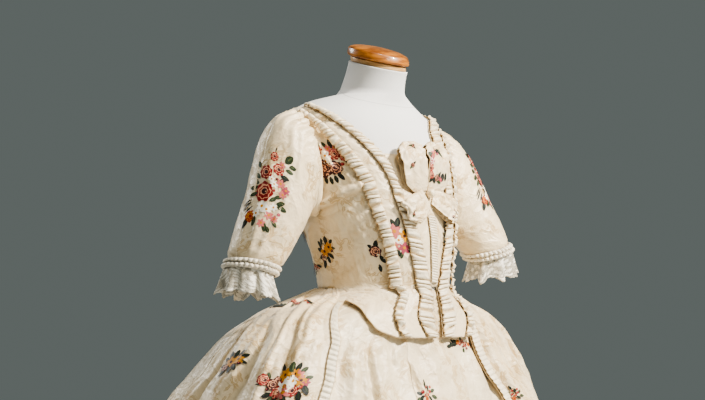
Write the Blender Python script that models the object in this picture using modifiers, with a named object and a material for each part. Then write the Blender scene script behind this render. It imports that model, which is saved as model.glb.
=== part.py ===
"""An English gown on a dress form, in metres, +Z up.

The front faces -Y and the wearer's left is +X. Run with blender --background --python part.py
"""

import math

import bmesh
import bpy


def table(columns, *rows):
    """Rows of numbers under named columns."""
    return [dict(zip(columns.split(), row)) for row in rows]


# Heights and walls
WAIST = 1.020
FORM_FOOT = 0.800
SEAM = 0.0004  # gap between two pieces that are sewn edge to edge
SILK = 0.0015
TRIM_SILK = 0.0010
LACE = 0.0010
LAP = 0.0009  # gap between a piece and the one that it lies on
BODICE_LIFT = 0.0012  # from the form to the bodice
PETTICOAT_LIFT = 0.0006
FLAP_LIFT = 0.0017  # from the petticoat to the flap
FLAP_TOP_DROP = 0.0016

# The form's torso: half width, distance of the front and of the back from the
# axis, and how far behind the axis the widest line runs
TORSO = table(
    "height width front back side",
    (0.800, 0.138, 0.096, 0.112, 0.000),
    (0.860, 0.150, 0.106, 0.124, 0.000),
    (0.930, 0.146, 0.108, 0.124, 0.000),
    (0.975, 0.132, 0.110, 0.118, 0.000),
    (1.020, 0.121, 0.114, 0.111, 0.000),
    (1.060, 0.127, 0.117, 0.117, 0.002),
    (1.100, 0.138, 0.117, 0.128, 0.005),
    (1.150, 0.154, 0.111, 0.145, 0.010),
    (1.200, 0.165, 0.103, 0.150, 0.016),
    (1.250, 0.172, 0.091, 0.153, 0.022),
    (1.280, 0.175, 0.077, 0.155, 0.028),
    (1.300, 0.177, 0.066, 0.157, 0.035),
    (1.325, 0.175, 0.052, 0.158, 0.044),
    (1.340, 0.166, 0.044, 0.157, 0.052),
    (1.352, 0.147, 0.037, 0.154, 0.055),
    (1.366, 0.114, 0.034, 0.144, 0.052),
    (1.381, 0.066, 0.035, 0.093, 0.028),
)

# The petticoat's outer face: half width, front and back by drop below the waist
SKIRT = table(
    "drop width front back",
    (0.000, 0.1231, 0.1161, 0.1131),
    (0.015, 0.143, 0.119, 0.153),
    (0.030, 0.192, 0.121, 0.168),
    (0.045, 0.240, 0.122, 0.175),
    (0.060, 0.274, 0.123, 0.183),
    (0.090, 0.315, 0.127, 0.212),
    (0.120, 0.338, 0.134, 0.241),
    (0.150, 0.353, 0.146, 0.272),
    (0.200, 0.370, 0.164, 0.338),
    (0.300, 0.400, 0.198, 0.400),
    (0.400, 0.430, 0.228, 0.445),
    (0.600, 0.475, 0.273, 0.505),
    (0.800, 0.510, 0.308, 0.548),
    (0.995, 0.535, 0.338, 0.580),
)
SKIRT_SQUARENESS = 0.4  # added to the exponent 2 of the skirt's ring

# Each front by stations from the waist to the shoulder seam: heights of the
# neck edge and of the side edge, and the angles from the centre front of the
# neck edge, the robing's two edges, the outer ruffle's edge and the side edge
FRONT_COLUMNS = "neck_height side_height neck inner outer frill side"
FRONT_RIGHT = table(
    FRONT_COLUMNS,
    (1.020, 1.020, 4.5, 19.0, 34.0, 44.0, 95.0),
    (1.060, 1.060, 9.0, 22.0, 36.0, 45.0, 96.0),
    (1.110, 1.110, 14.5, 25.0, 38.0, 46.0, 97.0),
    (1.150, 1.150, 19.0, 27.0, 40.0, 48.0, 96.0),
    (1.158, 1.154, 20.0, 27.7, 40.4, 48.5, 95.5),
    (1.168, 1.161, 21.0, 28.4, 40.9, 49.1, 92.5),
    (1.180, 1.170, 22.5, 29.5, 41.5, 50.0, 90.4),
    (1.212, 1.200, 25.2, 31.0, 43.0, 52.0, 87.0),
    (1.242, 1.228, 28.0, 35.0, 48.0, 57.0, 85.8),
    (1.272, 1.256, 34.0, 41.5, 54.5, 63.0, 85.9),
    (1.298, 1.280, 41.5, 48.5, 61.0, 69.0, 87.2),
    (1.320, 1.302, 50.0, 57.0, 68.0, 74.5, 89.8),
    (1.338, 1.318, 63.0, 69.0, 77.5, 82.5, 93.2),
    (1.347, 1.325, 77.0, 80.0, 86.0, 90.0, 95.5),
    (1.351, 1.327, 88.0, 89.6, 93.5, 96.0, 98.0),
)
FRONT_LEFT = table(
    FRONT_COLUMNS,
    (1.020, 1.020, 4.5, 19.0, 34.0, 44.0, 95.0),
    (1.060, 1.060, 9.0, 22.0, 36.0, 45.0, 96.0),
    (1.110, 1.110, 14.0, 25.0, 38.0, 46.0, 97.0),
    (1.150, 1.150, 17.0, 27.0, 40.0, 48.0, 96.0),
    (1.158, 1.154, 17.8, 27.5, 40.4, 48.5, 95.5),
    (1.168, 1.161, 18.6, 28.2, 40.9, 49.1, 92.5),
    (1.180, 1.170, 19.5, 29.0, 41.5, 50.0, 90.4),
    (1.212, 1.200, 20.5, 29.5, 42.0, 51.0, 87.0),
    (1.242, 1.228, 21.0, 30.0, 43.0, 53.0, 85.8),
    (1.272, 1.256, 21.5, 31.5, 45.0, 56.0, 85.9),
    (1.298, 1.280, 22.5, 34.0, 49.0, 60.0, 87.2),
    (1.320, 1.302, 27.0, 39.0, 55.0, 67.0, 89.8),
    (1.338, 1.318, 40.0, 51.0, 66.0, 76.0, 93.2),
    (1.347, 1.325, 62.0, 68.0, 79.0, 86.5, 95.5),
    (1.351, 1.327, 86.0, 88.4, 93.0, 96.0, 98.0),
)
# The backs: heights at the side edge and the centre back, angle of the side edge
BACK = table(
    "side_height centre_height side",
    (1.020, 1.020, 95.0),
    (1.060, 1.060, 96.0),
    (1.110, 1.108, 97.0),
    (1.150, 1.146, 96.0),
    (1.160, 1.158, 101.0),
    (1.170, 1.170, 103.5),
    (1.200, 1.202, 107.0),
    (1.240, 1.240, 108.3),
    (1.280, 1.278, 106.8),
    (1.310, 1.303, 102.6),
    (1.327, 1.318, 98.2),
    (1.340, 1.330, 93.2),
    (1.351, 1.340, 88.2),
)

# The flaps below the waist: the robing's lines at the flap's lower edge, and
# the drop of that edge by angle
FLAP_LINES = {
    "right": dict(neck=0.7, inner=4.5, outer=12.3, frill=15.5),
    "left": dict(neck=0.6, inner=3.0, outer=9.8, frill=12.4),
}
FLAP_STATIONS = (-1.0, -0.75, -0.5, -0.25, -0.1, -0.02)
FLAP_SIDE_DROP = {"right": 0.028, "left": 0.089}
FLAP_EDGE = table(
    "angle drop",
    (0.0, 0.090),
    (9.0, 0.089),
    (16.0, 0.089),
    (20.0, 0.085),
    (28.0, 0.074),
    (35.0, 0.058),
    (47.0, 0.040),
    (64.0, 0.028),
)

# Angles of the overskirt's two front edges by drop below the waist
SKIRT_EDGES = table(
    "drop right left",
    (0.000, 84.0, 46.0),
    (0.015, 75.0, 31.0),
    (0.030, 66.0, 23.0),
    (0.060, 52.0, 16.5),
    (0.100, 44.0, 14.5),
    (0.150, 45.0, 15.5),
    (0.200, 48.5, 20.5),
    (0.400, 52.0, 26.0),
    (0.700, 56.0, 31.0),
    (0.995, 60.0, 36.0),
)
SKIRT_DROPS = (0.002, 0.015, 0.032, 0.060, 0.100, 0.150, 0.210, 0.400, 0.650, 0.995)
FOLD_STARTS = (0.020, 0.086, 0.152)  # the two broad folds beside the right edge
FOLD_PITCH = 0.0457
FOLDS = 20
SEAM_FOLDS = (3, 7, 10, 13, 16)  # the folds that hide a seam, 0.4 to 0.6 m apart at the hem
OVERSKIRT_GORES = (
    "overskirt_front_right",
    "overskirt_side_right",
    "overskirt_back_right",
    "overskirt_back_left",
    "overskirt_side_left",
    "overskirt_front_left",
)
FOLD_DEPTH = table("drop depth", (0.0, 0.0015), (0.05, 0.005), (0.12, 0.012), (0.3, 0.020), (1.0, 0.034))

# Sleeves: the underarm seam and the outer fold by stations from the armhole to
# the elbow, the middle's place front to back and half the depth
SLEEVE_COLUMNS = "in_x in_height out_x out_height middle half_depth"
SLEEVE_RIGHT = table(
    SLEEVE_COLUMNS,
    (0.176, 1.163, 0.213, 1.331, 0.034, 0.044),
    (0.181, 1.158, 0.243, 1.318, 0.038, 0.046),
    (0.185, 1.150, 0.264, 1.285, 0.041, 0.047),
    (0.190, 1.140, 0.277, 1.242, 0.044, 0.049),
    (0.197, 1.126, 0.287, 1.200, 0.046, 0.049),
    (0.207, 1.108, 0.299, 1.158, 0.052, 0.048),
    (0.223, 1.082, 0.311, 1.114, 0.058, 0.046),
    (0.242, 1.052, 0.325, 1.071, 0.064, 0.0435),
)
SLEEVE_LEFT = table(
    SLEEVE_COLUMNS,
    (0.176, 1.163, 0.203, 1.324, 0.028, 0.044),
    (0.181, 1.158, 0.230, 1.313, 0.022, 0.046),
    (0.185, 1.152, 0.252, 1.285, 0.015, 0.047),
    (0.190, 1.144, 0.270, 1.250, 0.007, 0.048),
    (0.199, 1.134, 0.286, 1.214, -0.003, 0.047),
    (0.211, 1.120, 0.300, 1.178, -0.013, 0.046),
    (0.225, 1.104, 0.313, 1.144, -0.023, 0.044),
    (0.239, 1.087, 0.325, 1.112, -0.031, 0.042),
)
ARMHOLE = dict(angle=97.0, half_angle=12.5, height=1.238, half_height=0.086)

# Bows: where each loop's far end lies from the knot, its breadth and how thick it puffs
KNOT_HEIGHT = 1.192
LOOPS = table(
    "across up breadth depth",
    (-0.064, 0.078, 0.062, 0.016),
    (0.024, 0.084, 0.076, 0.018),
    (-0.066, -0.042, 0.044, 0.012),
    (0.060, -0.036, 0.044, 0.012),
)
LOOP_NAMES = ("bow_upper_right", "bow_upper_left", "bow_lower_right", "bow_lower_left")

# Waves: 84 in the robing ruffles, 28 in the skirt trims, 20 in the sleeve
# bands, 18 in the lace, 20 folds in the overskirt, 9 in the petticoat, 12 in
# the stomacher's ruching and 8 pleats in the backs: 199 in all
RUFFLE_WAVES = 21
SKIRT_TRIM_WAVES = 14
BAND_WAVES = 10
LACE_DEPTH = 0.058
LACE_WAVES = 9
PETTICOAT_WAVES = 9
RUCHING_WAVES = 12
BACK_PLEATS = 4

IVORY = (0.84, 0.78, 0.66)
RUFFLE_IVORY = (0.82, 0.72, 0.53)
LACE_WHITE = (0.80, 0.77, 0.70)
FORM_WHITE = (0.80, 0.80, 0.78)
WOOD = (0.36, 0.13, 0.03)
PALE_WOOD = (0.62, 0.40, 0.18)
IRON = (0.05, 0.05, 0.05)

SIDES = {"right": -1, "left": 1}


def clear_scene():
    for obj in list(bpy.data.objects):
        bpy.data.objects.remove(obj)


def look_up(rows, key, column, at):
    """The column's value at this key, on a smooth curve through the rows."""
    keys = [row[key] for row in rows]
    values = [row[column] for row in rows]
    if at <= keys[0]:
        return values[0]
    if at >= keys[-1]:
        return values[-1]
    i = next(i for i in range(len(keys) - 1) if at <= keys[i + 1])
    slopes = [(values[j + 1] - values[j]) / (keys[j + 1] - keys[j]) for j in range(len(keys) - 1)]

    def slope_at(j):
        if j == 0 or j == len(keys) - 1:
            return slopes[min(j, len(slopes) - 1)]
        before, after = slopes[j - 1], slopes[j]
        return 0.0 if before * after <= 0 else 2 * before * after / (before + after)

    step = keys[i + 1] - keys[i]
    t = (at - keys[i]) / step
    rise = values[i + 1] - values[i]
    start, end = slope_at(i) * step, slope_at(i + 1) * step
    return values[i] + t * (start + t * (3 * rise - 2 * start - end + t * (start + end - 2 * rise)))


def mix(a, b, share):
    return a + (b - a) * share


def spread(count, start=0.0, end=1.0):
    return [mix(start, end, i / count) for i in range(count + 1)]


def lifted(point_at, u, v, lift):
    """The point of a surface moved out along its normal; u runs to the wearer's left, v up."""
    du, dv = 0.5, 0.0015
    along = [a - b for a, b in zip(point_at(u + du, v), point_at(u - du, v))]
    up = [a - b for a, b in zip(point_at(u, v + dv), point_at(u, v - dv))]
    normal = (
        along[1] * up[2] - along[2] * up[1],
        along[2] * up[0] - along[0] * up[2],
        along[0] * up[1] - along[1] * up[0],
    )
    size = math.sqrt(sum(n * n for n in normal))
    return tuple(p + n / size * lift for p, n in zip(point_at(u, v), normal))


def torso_ring(angle, height):
    width, front, back, side = (
        look_up(TORSO, "height", column, height) for column in ("width", "front", "back", "side")
    )
    turn = math.radians(angle)
    reach = front + side if math.cos(turn) > 0 else back - side
    return width * math.sin(turn), side - reach * math.cos(turn), height


def on_torso(angle, height, lift):
    return lifted(torso_ring, angle, height, lift)


def skirt_ring(angle, height):
    drop = WAIST - height
    width, front, back = (look_up(SKIRT, "drop", column, drop) for column in ("width", "front", "back"))
    turn = math.radians(angle)
    power = 2 / (2 + SKIRT_SQUARENESS * min(1, max(0, drop) / 0.05))
    sine, cosine = math.sin(turn), math.cos(turn)
    reach = front if cosine > 0 else back
    across = math.copysign(abs(sine) ** power, sine)
    forward = math.copysign(abs(cosine) ** power, cosine)
    return width * across, -reach * forward, height


def on_skirt(angle, drop, lift):
    """A point over the petticoat's outer face."""
    return lifted(skirt_ring, angle, WAIST - drop, lift)


def material(name, colour, roughness):
    made = bpy.data.materials.new(name)
    made.use_nodes = True
    shader = made.node_tree.nodes["Principled BSDF"]
    shader.inputs["Base Color"].default_value = (*colour, 1)
    shader.inputs["Roughness"].default_value = roughness
    return made


def finish(name, mesh_maker, colour, roughness=0.6, smooth=True):
    """Puts a bmesh in the scene as one named object with its own material."""
    mesh = bpy.data.meshes.new(name)
    mesh_maker.to_mesh(mesh)
    mesh_maker.free()
    mesh.materials.append(material(name, colour, roughness))
    for face in mesh.polygons:
        face.use_smooth = smooth
    obj = bpy.data.objects.new(name, mesh)
    GOWN.objects.link(obj)
    return obj


def cloth(name, across, down, place, wall, colour, tube=False, roughness=0.6):
    """A cloth wall: a grid laid through place(u, v), then given its thickness outwards."""
    maker = bmesh.new()
    bmesh.ops.create_grid(maker, x_segments=len(across) - 1, y_segments=len(down) - 1, size=0.5)
    for vertex in maker.verts:
        i = round((vertex.co.x + 0.5) * (len(across) - 1))
        j = round((vertex.co.y + 0.5) * (len(down) - 1))
        vertex.co = place(across[i], down[j])
    if tube:
        bmesh.ops.remove_doubles(maker, verts=maker.verts, dist=1e-5)
    obj = finish(name, maker, colour, roughness)
    thickness = obj.modifiers.new("Wall", "SOLIDIFY")
    thickness.thickness = wall
    thickness.offset = 1
    thickness.use_even_offset = True
    return obj


def turned(name, profile, colour, roughness, steps=32):
    """A solid of revolution about the Z axis, from its outline at +X going down."""
    maker = bmesh.new()
    points = [maker.verts.new((x, 0, z)) for x, z in profile]
    for a, b in zip(points, points[1:]):
        maker.edges.new((a, b))
    obj = finish(name, maker, colour, roughness)
    screw = obj.modifiers.new("Turn", "SCREW")
    screw.steps = steps
    screw.render_steps = steps
    screw.use_merge_vertices = True
    screw.merge_threshold = 0.0001
    return obj


def filled_loft(name, across, down, place, colour, roughness=0.6):
    """A closed solid through rings, with both end rings filled."""
    maker = bmesh.new()
    bmesh.ops.create_grid(maker, x_segments=len(across) - 1, y_segments=len(down) - 1, size=0.5)
    for vertex in maker.verts:
        i = round((vertex.co.x + 0.5) * (len(across) - 1))
        j = round((vertex.co.y + 0.5) * (len(down) - 1))
        vertex.co = place(across[i], down[j])
    bmesh.ops.remove_doubles(maker, verts=maker.verts, dist=1e-5)
    bmesh.ops.holes_fill(maker, edges=maker.edges, sides=0)
    bmesh.ops.recalc_face_normals(maker, faces=maker.faces)
    return finish(name, maker, colour, roughness)


# The dress form and its stand
NECK = dict(low=1.3815, high=1.4350, low_middle=0.027, high_middle=0.010)
NECK.update(low_radius=0.062, high_radius=0.0546)
NECK_TILT = math.radians(15)


def neck_point(turn, share, radius_change=0.0, rise=0.0):
    """A point on the neck column, whose top plane slopes down to the front."""
    radius = mix(NECK["low_radius"], NECK["high_radius"], math.sin(share * math.pi / 2)) + radius_change
    middle = mix(NECK["low_middle"], NECK["high_middle"], share)
    x = radius * math.sin(turn)
    y = middle - radius * math.cos(turn)
    slope = (y - middle) * math.tan(NECK_TILT) * share
    return x, y, mix(NECK["low"], NECK["high"], share) + slope + rise


def build_form():
    heights = [FORM_FOOT, 0.860, 0.930, 0.975] + [1.02, 1.06, 1.10, 1.15, 1.20, 1.25, 1.28, 1.30, 1.325]
    heights += [1.340, 1.352, 1.366, 1.381]
    rows = [("torso", height) for height in heights] + [("neck", share) for share in (0.1, 0.5, 1.0)]

    def place(angle, row):
        kind, value = row
        if kind == "torso":
            return torso_ring(angle, value)
        return neck_point(math.radians(angle), value)

    filled_loft("form_torso", spread(28, -180, 180), rows, place, FORM_WHITE, 0.9)
    ring_rows = ((0.0, 0.0004), (0.0, 0.0094))
    filled_loft(
        "form_neck_ring",
        spread(24, -180, 180),
        ring_rows,
        lambda angle, row: neck_point(math.radians(angle), 1.0, -0.0030, row[1]),
        PALE_WOOD,
        0.35,
    )
    cap_rows = (
        (-0.0006, 0.0098),
        (0.0022, 0.0120),
        (0.0026, 0.0190),
        (0.0012, 0.0250),
        (-0.0080, 0.0310),
        (-0.0260, 0.0350),
        (-0.0460, 0.0365),
    )
    filled_loft(
        "form_neck_cap",
        spread(24, -180, 180),
        cap_rows,
        lambda angle, row: neck_point(math.radians(angle), 1.0, row[0], row[1]),
        WOOD,
        0.12,
    )
    base = ((0.0, 0.0260), (0.018, 0.0260), (0.024, 0.0200), (0.190, 0.0140), (0.200, 0.0100))
    base += ((0.200, 0.0), (0.0, 0.0))
    turned("stand_base", base, IRON, 0.4, 28)
    top = FORM_FOOT - SEAM
    bottom = 0.0260 + SEAM
    turned("stand_pole", ((0.0, top), (0.013, top), (0.013, bottom), (0.0, bottom)), IRON, 0.3, 16)


# The bodice
def bodice_lift(height):
    """The bodice's distance from the form, which grows towards the petticoat's band at the waist."""
    band = PETTICOAT_LIFT + SILK + LAP
    return mix(band, BODICE_LIFT, min(1, max(0, (height - WAIST) / 0.040)))


def front_rows(side):
    return FRONT_RIGHT if side == "right" else FRONT_LEFT


def front_top(side):
    return len(front_rows(side)) - 1


def front_line(side, station, line):
    rows = [dict(row, station=i) for i, row in enumerate(front_rows(side))]
    return look_up(rows, "station", line, station)


def front_height(side, station, angle):
    neck, edge = front_line(side, station, "neck"), front_line(side, station, "side")
    share = (angle - neck) / (edge - neck)
    return mix(front_line(side, station, "neck_height"), front_line(side, station, "side_height"), share)


def on_front(side, station, angle, lift):
    """A point over a front at this station; below the waist the station is a share of the flap, minus."""
    if station >= 0:
        height = front_height(side, station, angle)
        return on_torso(SIDES[side] * angle, height, lift + bodice_lift(height))
    edge = look_up(FLAP_EDGE, "angle", "drop", angle)
    return on_skirt(SIDES[side] * angle, mix(FLAP_TOP_DROP, edge, -station), lift + FLAP_LIFT)


def line_angle(side, station, line):
    if station >= 0:
        return front_line(side, station, line)
    if line == "side":
        return skirt_edge(side, -station * FLAP_SIDE_DROP[side]) - 1.6
    return mix(front_line(side, 0, line), FLAP_LINES[side][line], (-station) ** 0.42)


def ordered(side, values):
    """Columns that always run towards the wearer's left, so that the wall grows outwards."""
    return list(values) if SIDES[side] > 0 else list(reversed(values))


CURVED_HEIGHT = 1.29  # above this the rows lie twice as close, to follow the shoulder


def station_rows(rows):
    stations = [0.0]
    for i, row in enumerate(rows[1:], 1):
        if row["side_height"] > CURVED_HEIGHT:
            stations.append(i - 0.5)
        stations.append(float(i))
    return stations


def build_fronts():
    for side in SIDES:
        columns = ordered(side, spread(9))

        def place(share, station):
            neck, edge = line_angle(side, station, "neck"), line_angle(side, station, "side")
            return on_front(side, station, mix(neck, edge - 0.08, share), 0)

        cloth(f"bodice_front_{side}", columns, station_rows(front_rows(side)), place, SILK, IVORY)

        def flap_place(share, station):
            neck, edge = line_angle(side, station, "neck"), line_angle(side, station, "side")
            return on_front(side, station, mix(neck, edge, share), 0)

        columns = ordered(side, spread(10 if side == "right" else 6))
        cloth(f"flap_{side}", columns, FLAP_STATIONS, flap_place, SILK, IVORY)


def build_backs():
    rows = [dict(row, station=i) for i, row in enumerate(BACK)]
    plain = 5
    pleated_from = 0.55
    for side in SIDES:
        shares = spread(plain, 0, pleated_from) + spread(2 * BACK_PLEATS, pleated_from, 1.0)[1:]

        def place(share, station):
            edge = look_up(rows, "station", "side", station) + 0.08
            angle = mix(edge, 179.85, share)
            low = look_up(rows, "station", "side_height", station)
            high = look_up(rows, "station", "centre_height", station)
            height = mix(low, high, share)
            fold = 0.0
            if share > pleated_from:
                wave = (share - pleated_from) / (1 - pleated_from) * BACK_PLEATS
                fold = 0.0018 * math.sin(wave * math.pi) ** 2
            return on_torso(SIDES[side] * angle, height, bodice_lift(height) + fold)

        cloth(f"bodice_back_{side}", ordered(side, shares), station_rows(BACK), place, SILK, IVORY)


def build_robings():
    for side in SIDES:

        def place(share, station):
            lift = SILK + LAP + (0.0003 if station < 0 else 0)
            low, high = line_angle(side, station, "inner"), line_angle(side, station, "outer")
            return on_front(side, station, mix(low, high, share), lift)

        stations = list(FLAP_STATIONS) + station_rows(front_rows(side))
        cloth(f"robing_{side}", ordered(side, spread(3)), stations, place, SILK, IVORY)


RUFFLE_LOW = -0.98
RUFFLE_STAND = 0.0058


def even_stations(side, line, count):
    """Stations at even distances along a line of the front, from the flap's edge to the shoulder."""
    tried = spread(90, RUFFLE_LOW, front_top(side))
    points = [on_front(side, station, line_angle(side, station, line), 0) for station in tried]
    run = [0.0]
    for a, b in zip(points, points[1:]):
        run.append(run[-1] + math.dist(a, b))
    found = []
    for wanted in spread(count, 0, run[-1]):
        i = next(i for i in range(len(run) - 1) if wanted <= run[i + 1] + 1e-12)
        found.append(mix(tried[i], tried[i + 1], (wanted - run[i]) / (run[i + 1] - run[i])))
    return found


def build_ruffle(name, side, sewn, free):
    """A pleated ruffle from the line where it is sewn to its free edge."""
    base = 2 * SILK + 2 * LAP + 0.0007
    stand = RUFFLE_STAND

    stations = even_stations(side, sewn, 2 * RUFFLE_WAVES)

    def place(share, pleat):
        station = stations[int(pleat)]
        start, end = line_angle(side, station, sewn), line_angle(side, station, free)
        tuck = 0.12 * (start - end)
        raised = pleat % 2
        lift = base + (0.0012 + stand * share) * raised + 0.0008 * share
        return on_front(side, station, mix(start + tuck, end, share), lift)

    towards_left = (free == "frill") == (side == "left")
    shares = spread(1) if towards_left else list(reversed(spread(1)))
    pleats = [float(i) for i in range(2 * RUFFLE_WAVES + 1)]
    cloth(name, shares, pleats, place, TRIM_SILK, RUFFLE_IVORY)


def build_stomacher():
    heights = (1.024, 1.060, 1.110, 1.150, 1.180, 1.212, 1.240, 1.262)

    def edge(side, height):
        return look_up(front_rows(side), "neck_height", "neck", height)

    def place(share, height):
        angle = mix(-edge("right", height) + 0.3, edge("left", height) - 0.3, share)
        return on_torso(angle, height, bodice_lift(height))

    cloth("stomacher", spread(6), heights, place, SILK, IVORY)
    lift = SILK + LAP

    def ruched(share, pleat):
        height = mix(1.034, 1.150, pleat / (2 * RUCHING_WAVES))
        half = 4.0
        raised = 0.0035 * (pleat % 2) * (1 - 0.6 * abs(share))
        return on_torso(half * share, height, bodice_lift(height) + lift + raised)

    pleats = [float(i) for i in range(2 * RUCHING_WAVES + 1)]
    cloth("stomacher_ruching", spread(2, -1, 1), pleats, ruched, TRIM_SILK, IVORY)


def angle_across(distance, height):
    """The angle from the centre front at which the torso is this far across."""
    return math.degrees(math.asin(distance / look_up(TORSO, "height", "width", height)))


def build_bows():
    steps = 12
    for name, loop in zip(LOOP_NAMES, LOOPS):
        length = math.hypot(loop["across"], loop["up"])
        ahead = (loop["across"] / length, loop["up"] / length)
        beside = (-ahead[1], ahead[0])

        def place(breadth, turn):
            around = 2 * math.pi * turn
            reach = (1 - math.cos(around)) / 2
            run = mix(0.0120, length, reach)
            half = mix(0.004, loop["breadth"] / 2, reach)
            low = mix(0.0033 - loop["depth"] / 2, 0.0175, reach)
            rounded = 1 - 0.18 * breadth * breadth * reach
            dx = ahead[0] * run * rounded + beside[0] * breadth * half
            dz = ahead[1] * run * rounded + beside[1] * breadth * half
            height = KNOT_HEIGHT + dz
            opened = 0.45 + 0.55 * reach
            lift = low + loop["depth"] / 2 * (1 - opened * math.sin(around))
            angle = angle_across(dx, height)
            return on_torso(angle, height, bodice_lift(height) + lift)

        cloth(name, spread(4, -1, 1), spread(steps), place, TRIM_SILK, IVORY, tube=True)

    def knot(turn, row):
        radius, lift = row
        around = math.radians(turn)
        height = KNOT_HEIGHT + radius * math.sin(around)
        return on_torso(angle_across(radius * math.cos(around), height), height, bodice_lift(height) + lift)

    rows = ((0.0072, 0.0022), (0.0078, 0.0080), (0.0064, 0.0135), (0.0026, 0.0160))
    filled_loft("bow_knot", spread(12, 0, 360), rows, knot, IVORY)


# The sleeves
def sleeve_rows(side):
    return SLEEVE_RIGHT if side == "right" else SLEEVE_LEFT


def sleeve_ring(row, sign, turn, grow=0.0):
    """A point on a sleeve's ring: turn 0 is the outer fold, a quarter turn the back."""
    half_x = (row["out_x"] - row["in_x"]) / 2
    half_z = (row["out_height"] - row["in_height"]) / 2
    half = math.hypot(half_x, half_z)
    out = math.cos(turn) * (half + grow)
    x = (row["out_x"] + row["in_x"]) / 2 + out * half_x / half
    z = (row["out_height"] + row["in_height"]) / 2 + out * half_z / half
    y = row["middle"] + math.sin(turn) * (row["half_depth"] + grow)
    return sign * x, y, z


def cuff_frame(side):
    """The sleeve's last ring and the way that it points there."""
    last, before = sleeve_rows(side)[-1], sleeve_rows(side)[-2]
    middle = [(r["out_x"] + r["in_x"]) / 2 for r in (last, before)]
    height = [(r["out_height"] + r["in_height"]) / 2 for r in (last, before)]
    ahead = (SIDES[side] * (middle[0] - middle[1]), last["middle"] - before["middle"], height[0] - height[1])
    size = math.sqrt(sum(a * a for a in ahead))
    return last, tuple(a / size for a in ahead)


def past_cuff(side, turn, grow, along):
    row, ahead = cuff_frame(side)
    point = sleeve_ring(row, SIDES[side], turn, grow)
    return tuple(p + a * along for p, a in zip(point, ahead))


def build_sleeve(side):
    sign = SIDES[side]
    rows = sleeve_rows(side)
    head_lift = SILK + LAP + 0.0008

    def place(turn, station):
        around = math.radians(turn) * sign
        if station < 0:
            angle = ARMHOLE["angle"] + ARMHOLE["half_angle"] * math.sin(around)
            height = ARMHOLE["height"] + ARMHOLE["half_height"] * math.cos(around)
            return on_torso(sign * angle, height, head_lift + bodice_lift(height))
        return sleeve_ring(rows[int(station)], sign, around)

    stations = [-1] + list(range(len(rows)))
    halves = ("front", "back") if side == "right" else ("back", "front")
    gap = 0.25
    for half, low in zip(halves, (0, 180)):
        turns = spread(9, low + gap, low + 180 - gap)
        cloth(f"sleeve_{side}_{half}", turns, list(reversed(stations)), place, SILK, IVORY)

    inner = SILK + LAP

    def band(turn, share):
        around = math.radians(turn) * sign
        wave = 0.35 + 0.65 * math.sin(BAND_WAVES * around / 2) ** 2
        puff = 0.0045 * math.sin(math.pi * share) ** 0.7 * wave
        return past_cuff(side, around, inner + puff + 0.0010 * (1 - share), mix(-0.003, 0.0145, share))

    turns = spread(2 * BAND_WAVES, 0, 360)
    cloth(f"sleeve_band_{side}", turns, list(reversed(spread(2))), band, TRIM_SILK, IVORY, tube=True)

    def lace(turn, share):
        around = math.radians(turn) * sign
        wave = math.cos(LACE_WAVES * around)
        grow = -0.0022 + (0.0095 + 0.0065 * wave) * share ** 1.5
        length = LACE_DEPTH + 0.0045 * wave
        along = 0.0010 + length * min(share, 0.3)
        x, y, z = past_cuff(side, around, grow, along)
        return x, y, z - length * max(0, share - 0.3)

    turns = spread(4 * LACE_WAVES, 0, 360)
    cloth(f"lace_{side}", turns, (1.0, 0.65, 0.3, 0.0), lace, LACE, LACE_WHITE, tube=True)


# The skirts
def skirt_edge(side, drop):
    return look_up(SKIRT_EDGES, "drop", side, drop)


def fold_marks():
    marks = list(FOLD_STARTS)
    while len(marks) < FOLDS + 1:
        marks.append(min(marks[-1] + FOLD_PITCH, 0.98))
    marks[-1] = 0.98
    return marks


MARKS = fold_marks()


def fold_profile(share):
    """How far out of its fold the overskirt stands here, from 0 in a valley to 1."""
    if not MARKS[0] < share < MARKS[-1]:
        return 0.0
    i = next(i for i in range(len(MARKS) - 1) if share <= MARKS[i + 1])
    phase = (share - MARKS[i]) / (MARKS[i + 1] - MARKS[i])
    return math.sin(math.pi * phase) ** 0.85


OVERSKIRT_LIFT = 0.0024


def overskirt_point(share, drop, lift=0.0):
    """Share 0 is the right front edge; 1, round the back, is the left one."""
    start = -skirt_edge("right", drop)
    end = skirt_edge("left", drop) - 360
    depth = look_up(FOLD_DEPTH, "drop", "depth", drop)
    spring = OVERSKIRT_LIFT - (OVERSKIRT_LIFT - LAP) * max(0, 1 - drop / 0.02)
    return on_skirt(mix(start, end, share), drop, spring + depth * fold_profile(share) + lift)


def build_overskirt():
    seams = [(MARKS[i] + MARKS[i + 1]) / 2 for i in SEAM_FOLDS]
    columns = [0.0] + seams
    for low, high in zip(MARKS, MARKS[1:]):
        columns += spread(3, low, high)[:-1]
    columns = sorted(columns + [0.98, 1.0])
    ends = [0.0] + seams + [1.0]
    gores = zip(OVERSKIRT_GORES, ends, ends[1:])
    gap = 0.0006
    for name, low, high in gores:
        shares = [share for share in columns if low - 1e-9 <= share <= high + 1e-9]
        if low > 0:
            shares[0] += gap / 2
        if high < 1:
            shares[-1] -= gap / 2
        drops = list(reversed(SKIRT_DROPS))
        cloth(name, list(reversed(shares)), drops, overskirt_point, SILK, IVORY)


def build_skirt_trims():
    width = 0.0185
    for side in SIDES:
        sign = 1 if side == "right" else -1

        def place(share, pleat):
            drop = mix(0.030, 0.990, (pleat / (2 * SKIRT_TRIM_WAVES)) ** 1.15)
            across = mix(0.0006, width * 0.9, share)
            place_share = across if side == "right" else 1 - across
            raised = 0.0040 * (pleat % 2) * min(1, drop / 0.09)
            return overskirt_point(place_share, drop, SILK + 0.0013 + raised)

        shares = spread(2)
        if sign > 0:
            shares.reverse()
        pleats = [float(i) for i in range(2 * SKIRT_TRIM_WAVES, -1, -1)]
        cloth(f"skirt_trim_{side}", shares, pleats, place, TRIM_SILK, RUFFLE_IVORY)


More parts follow.
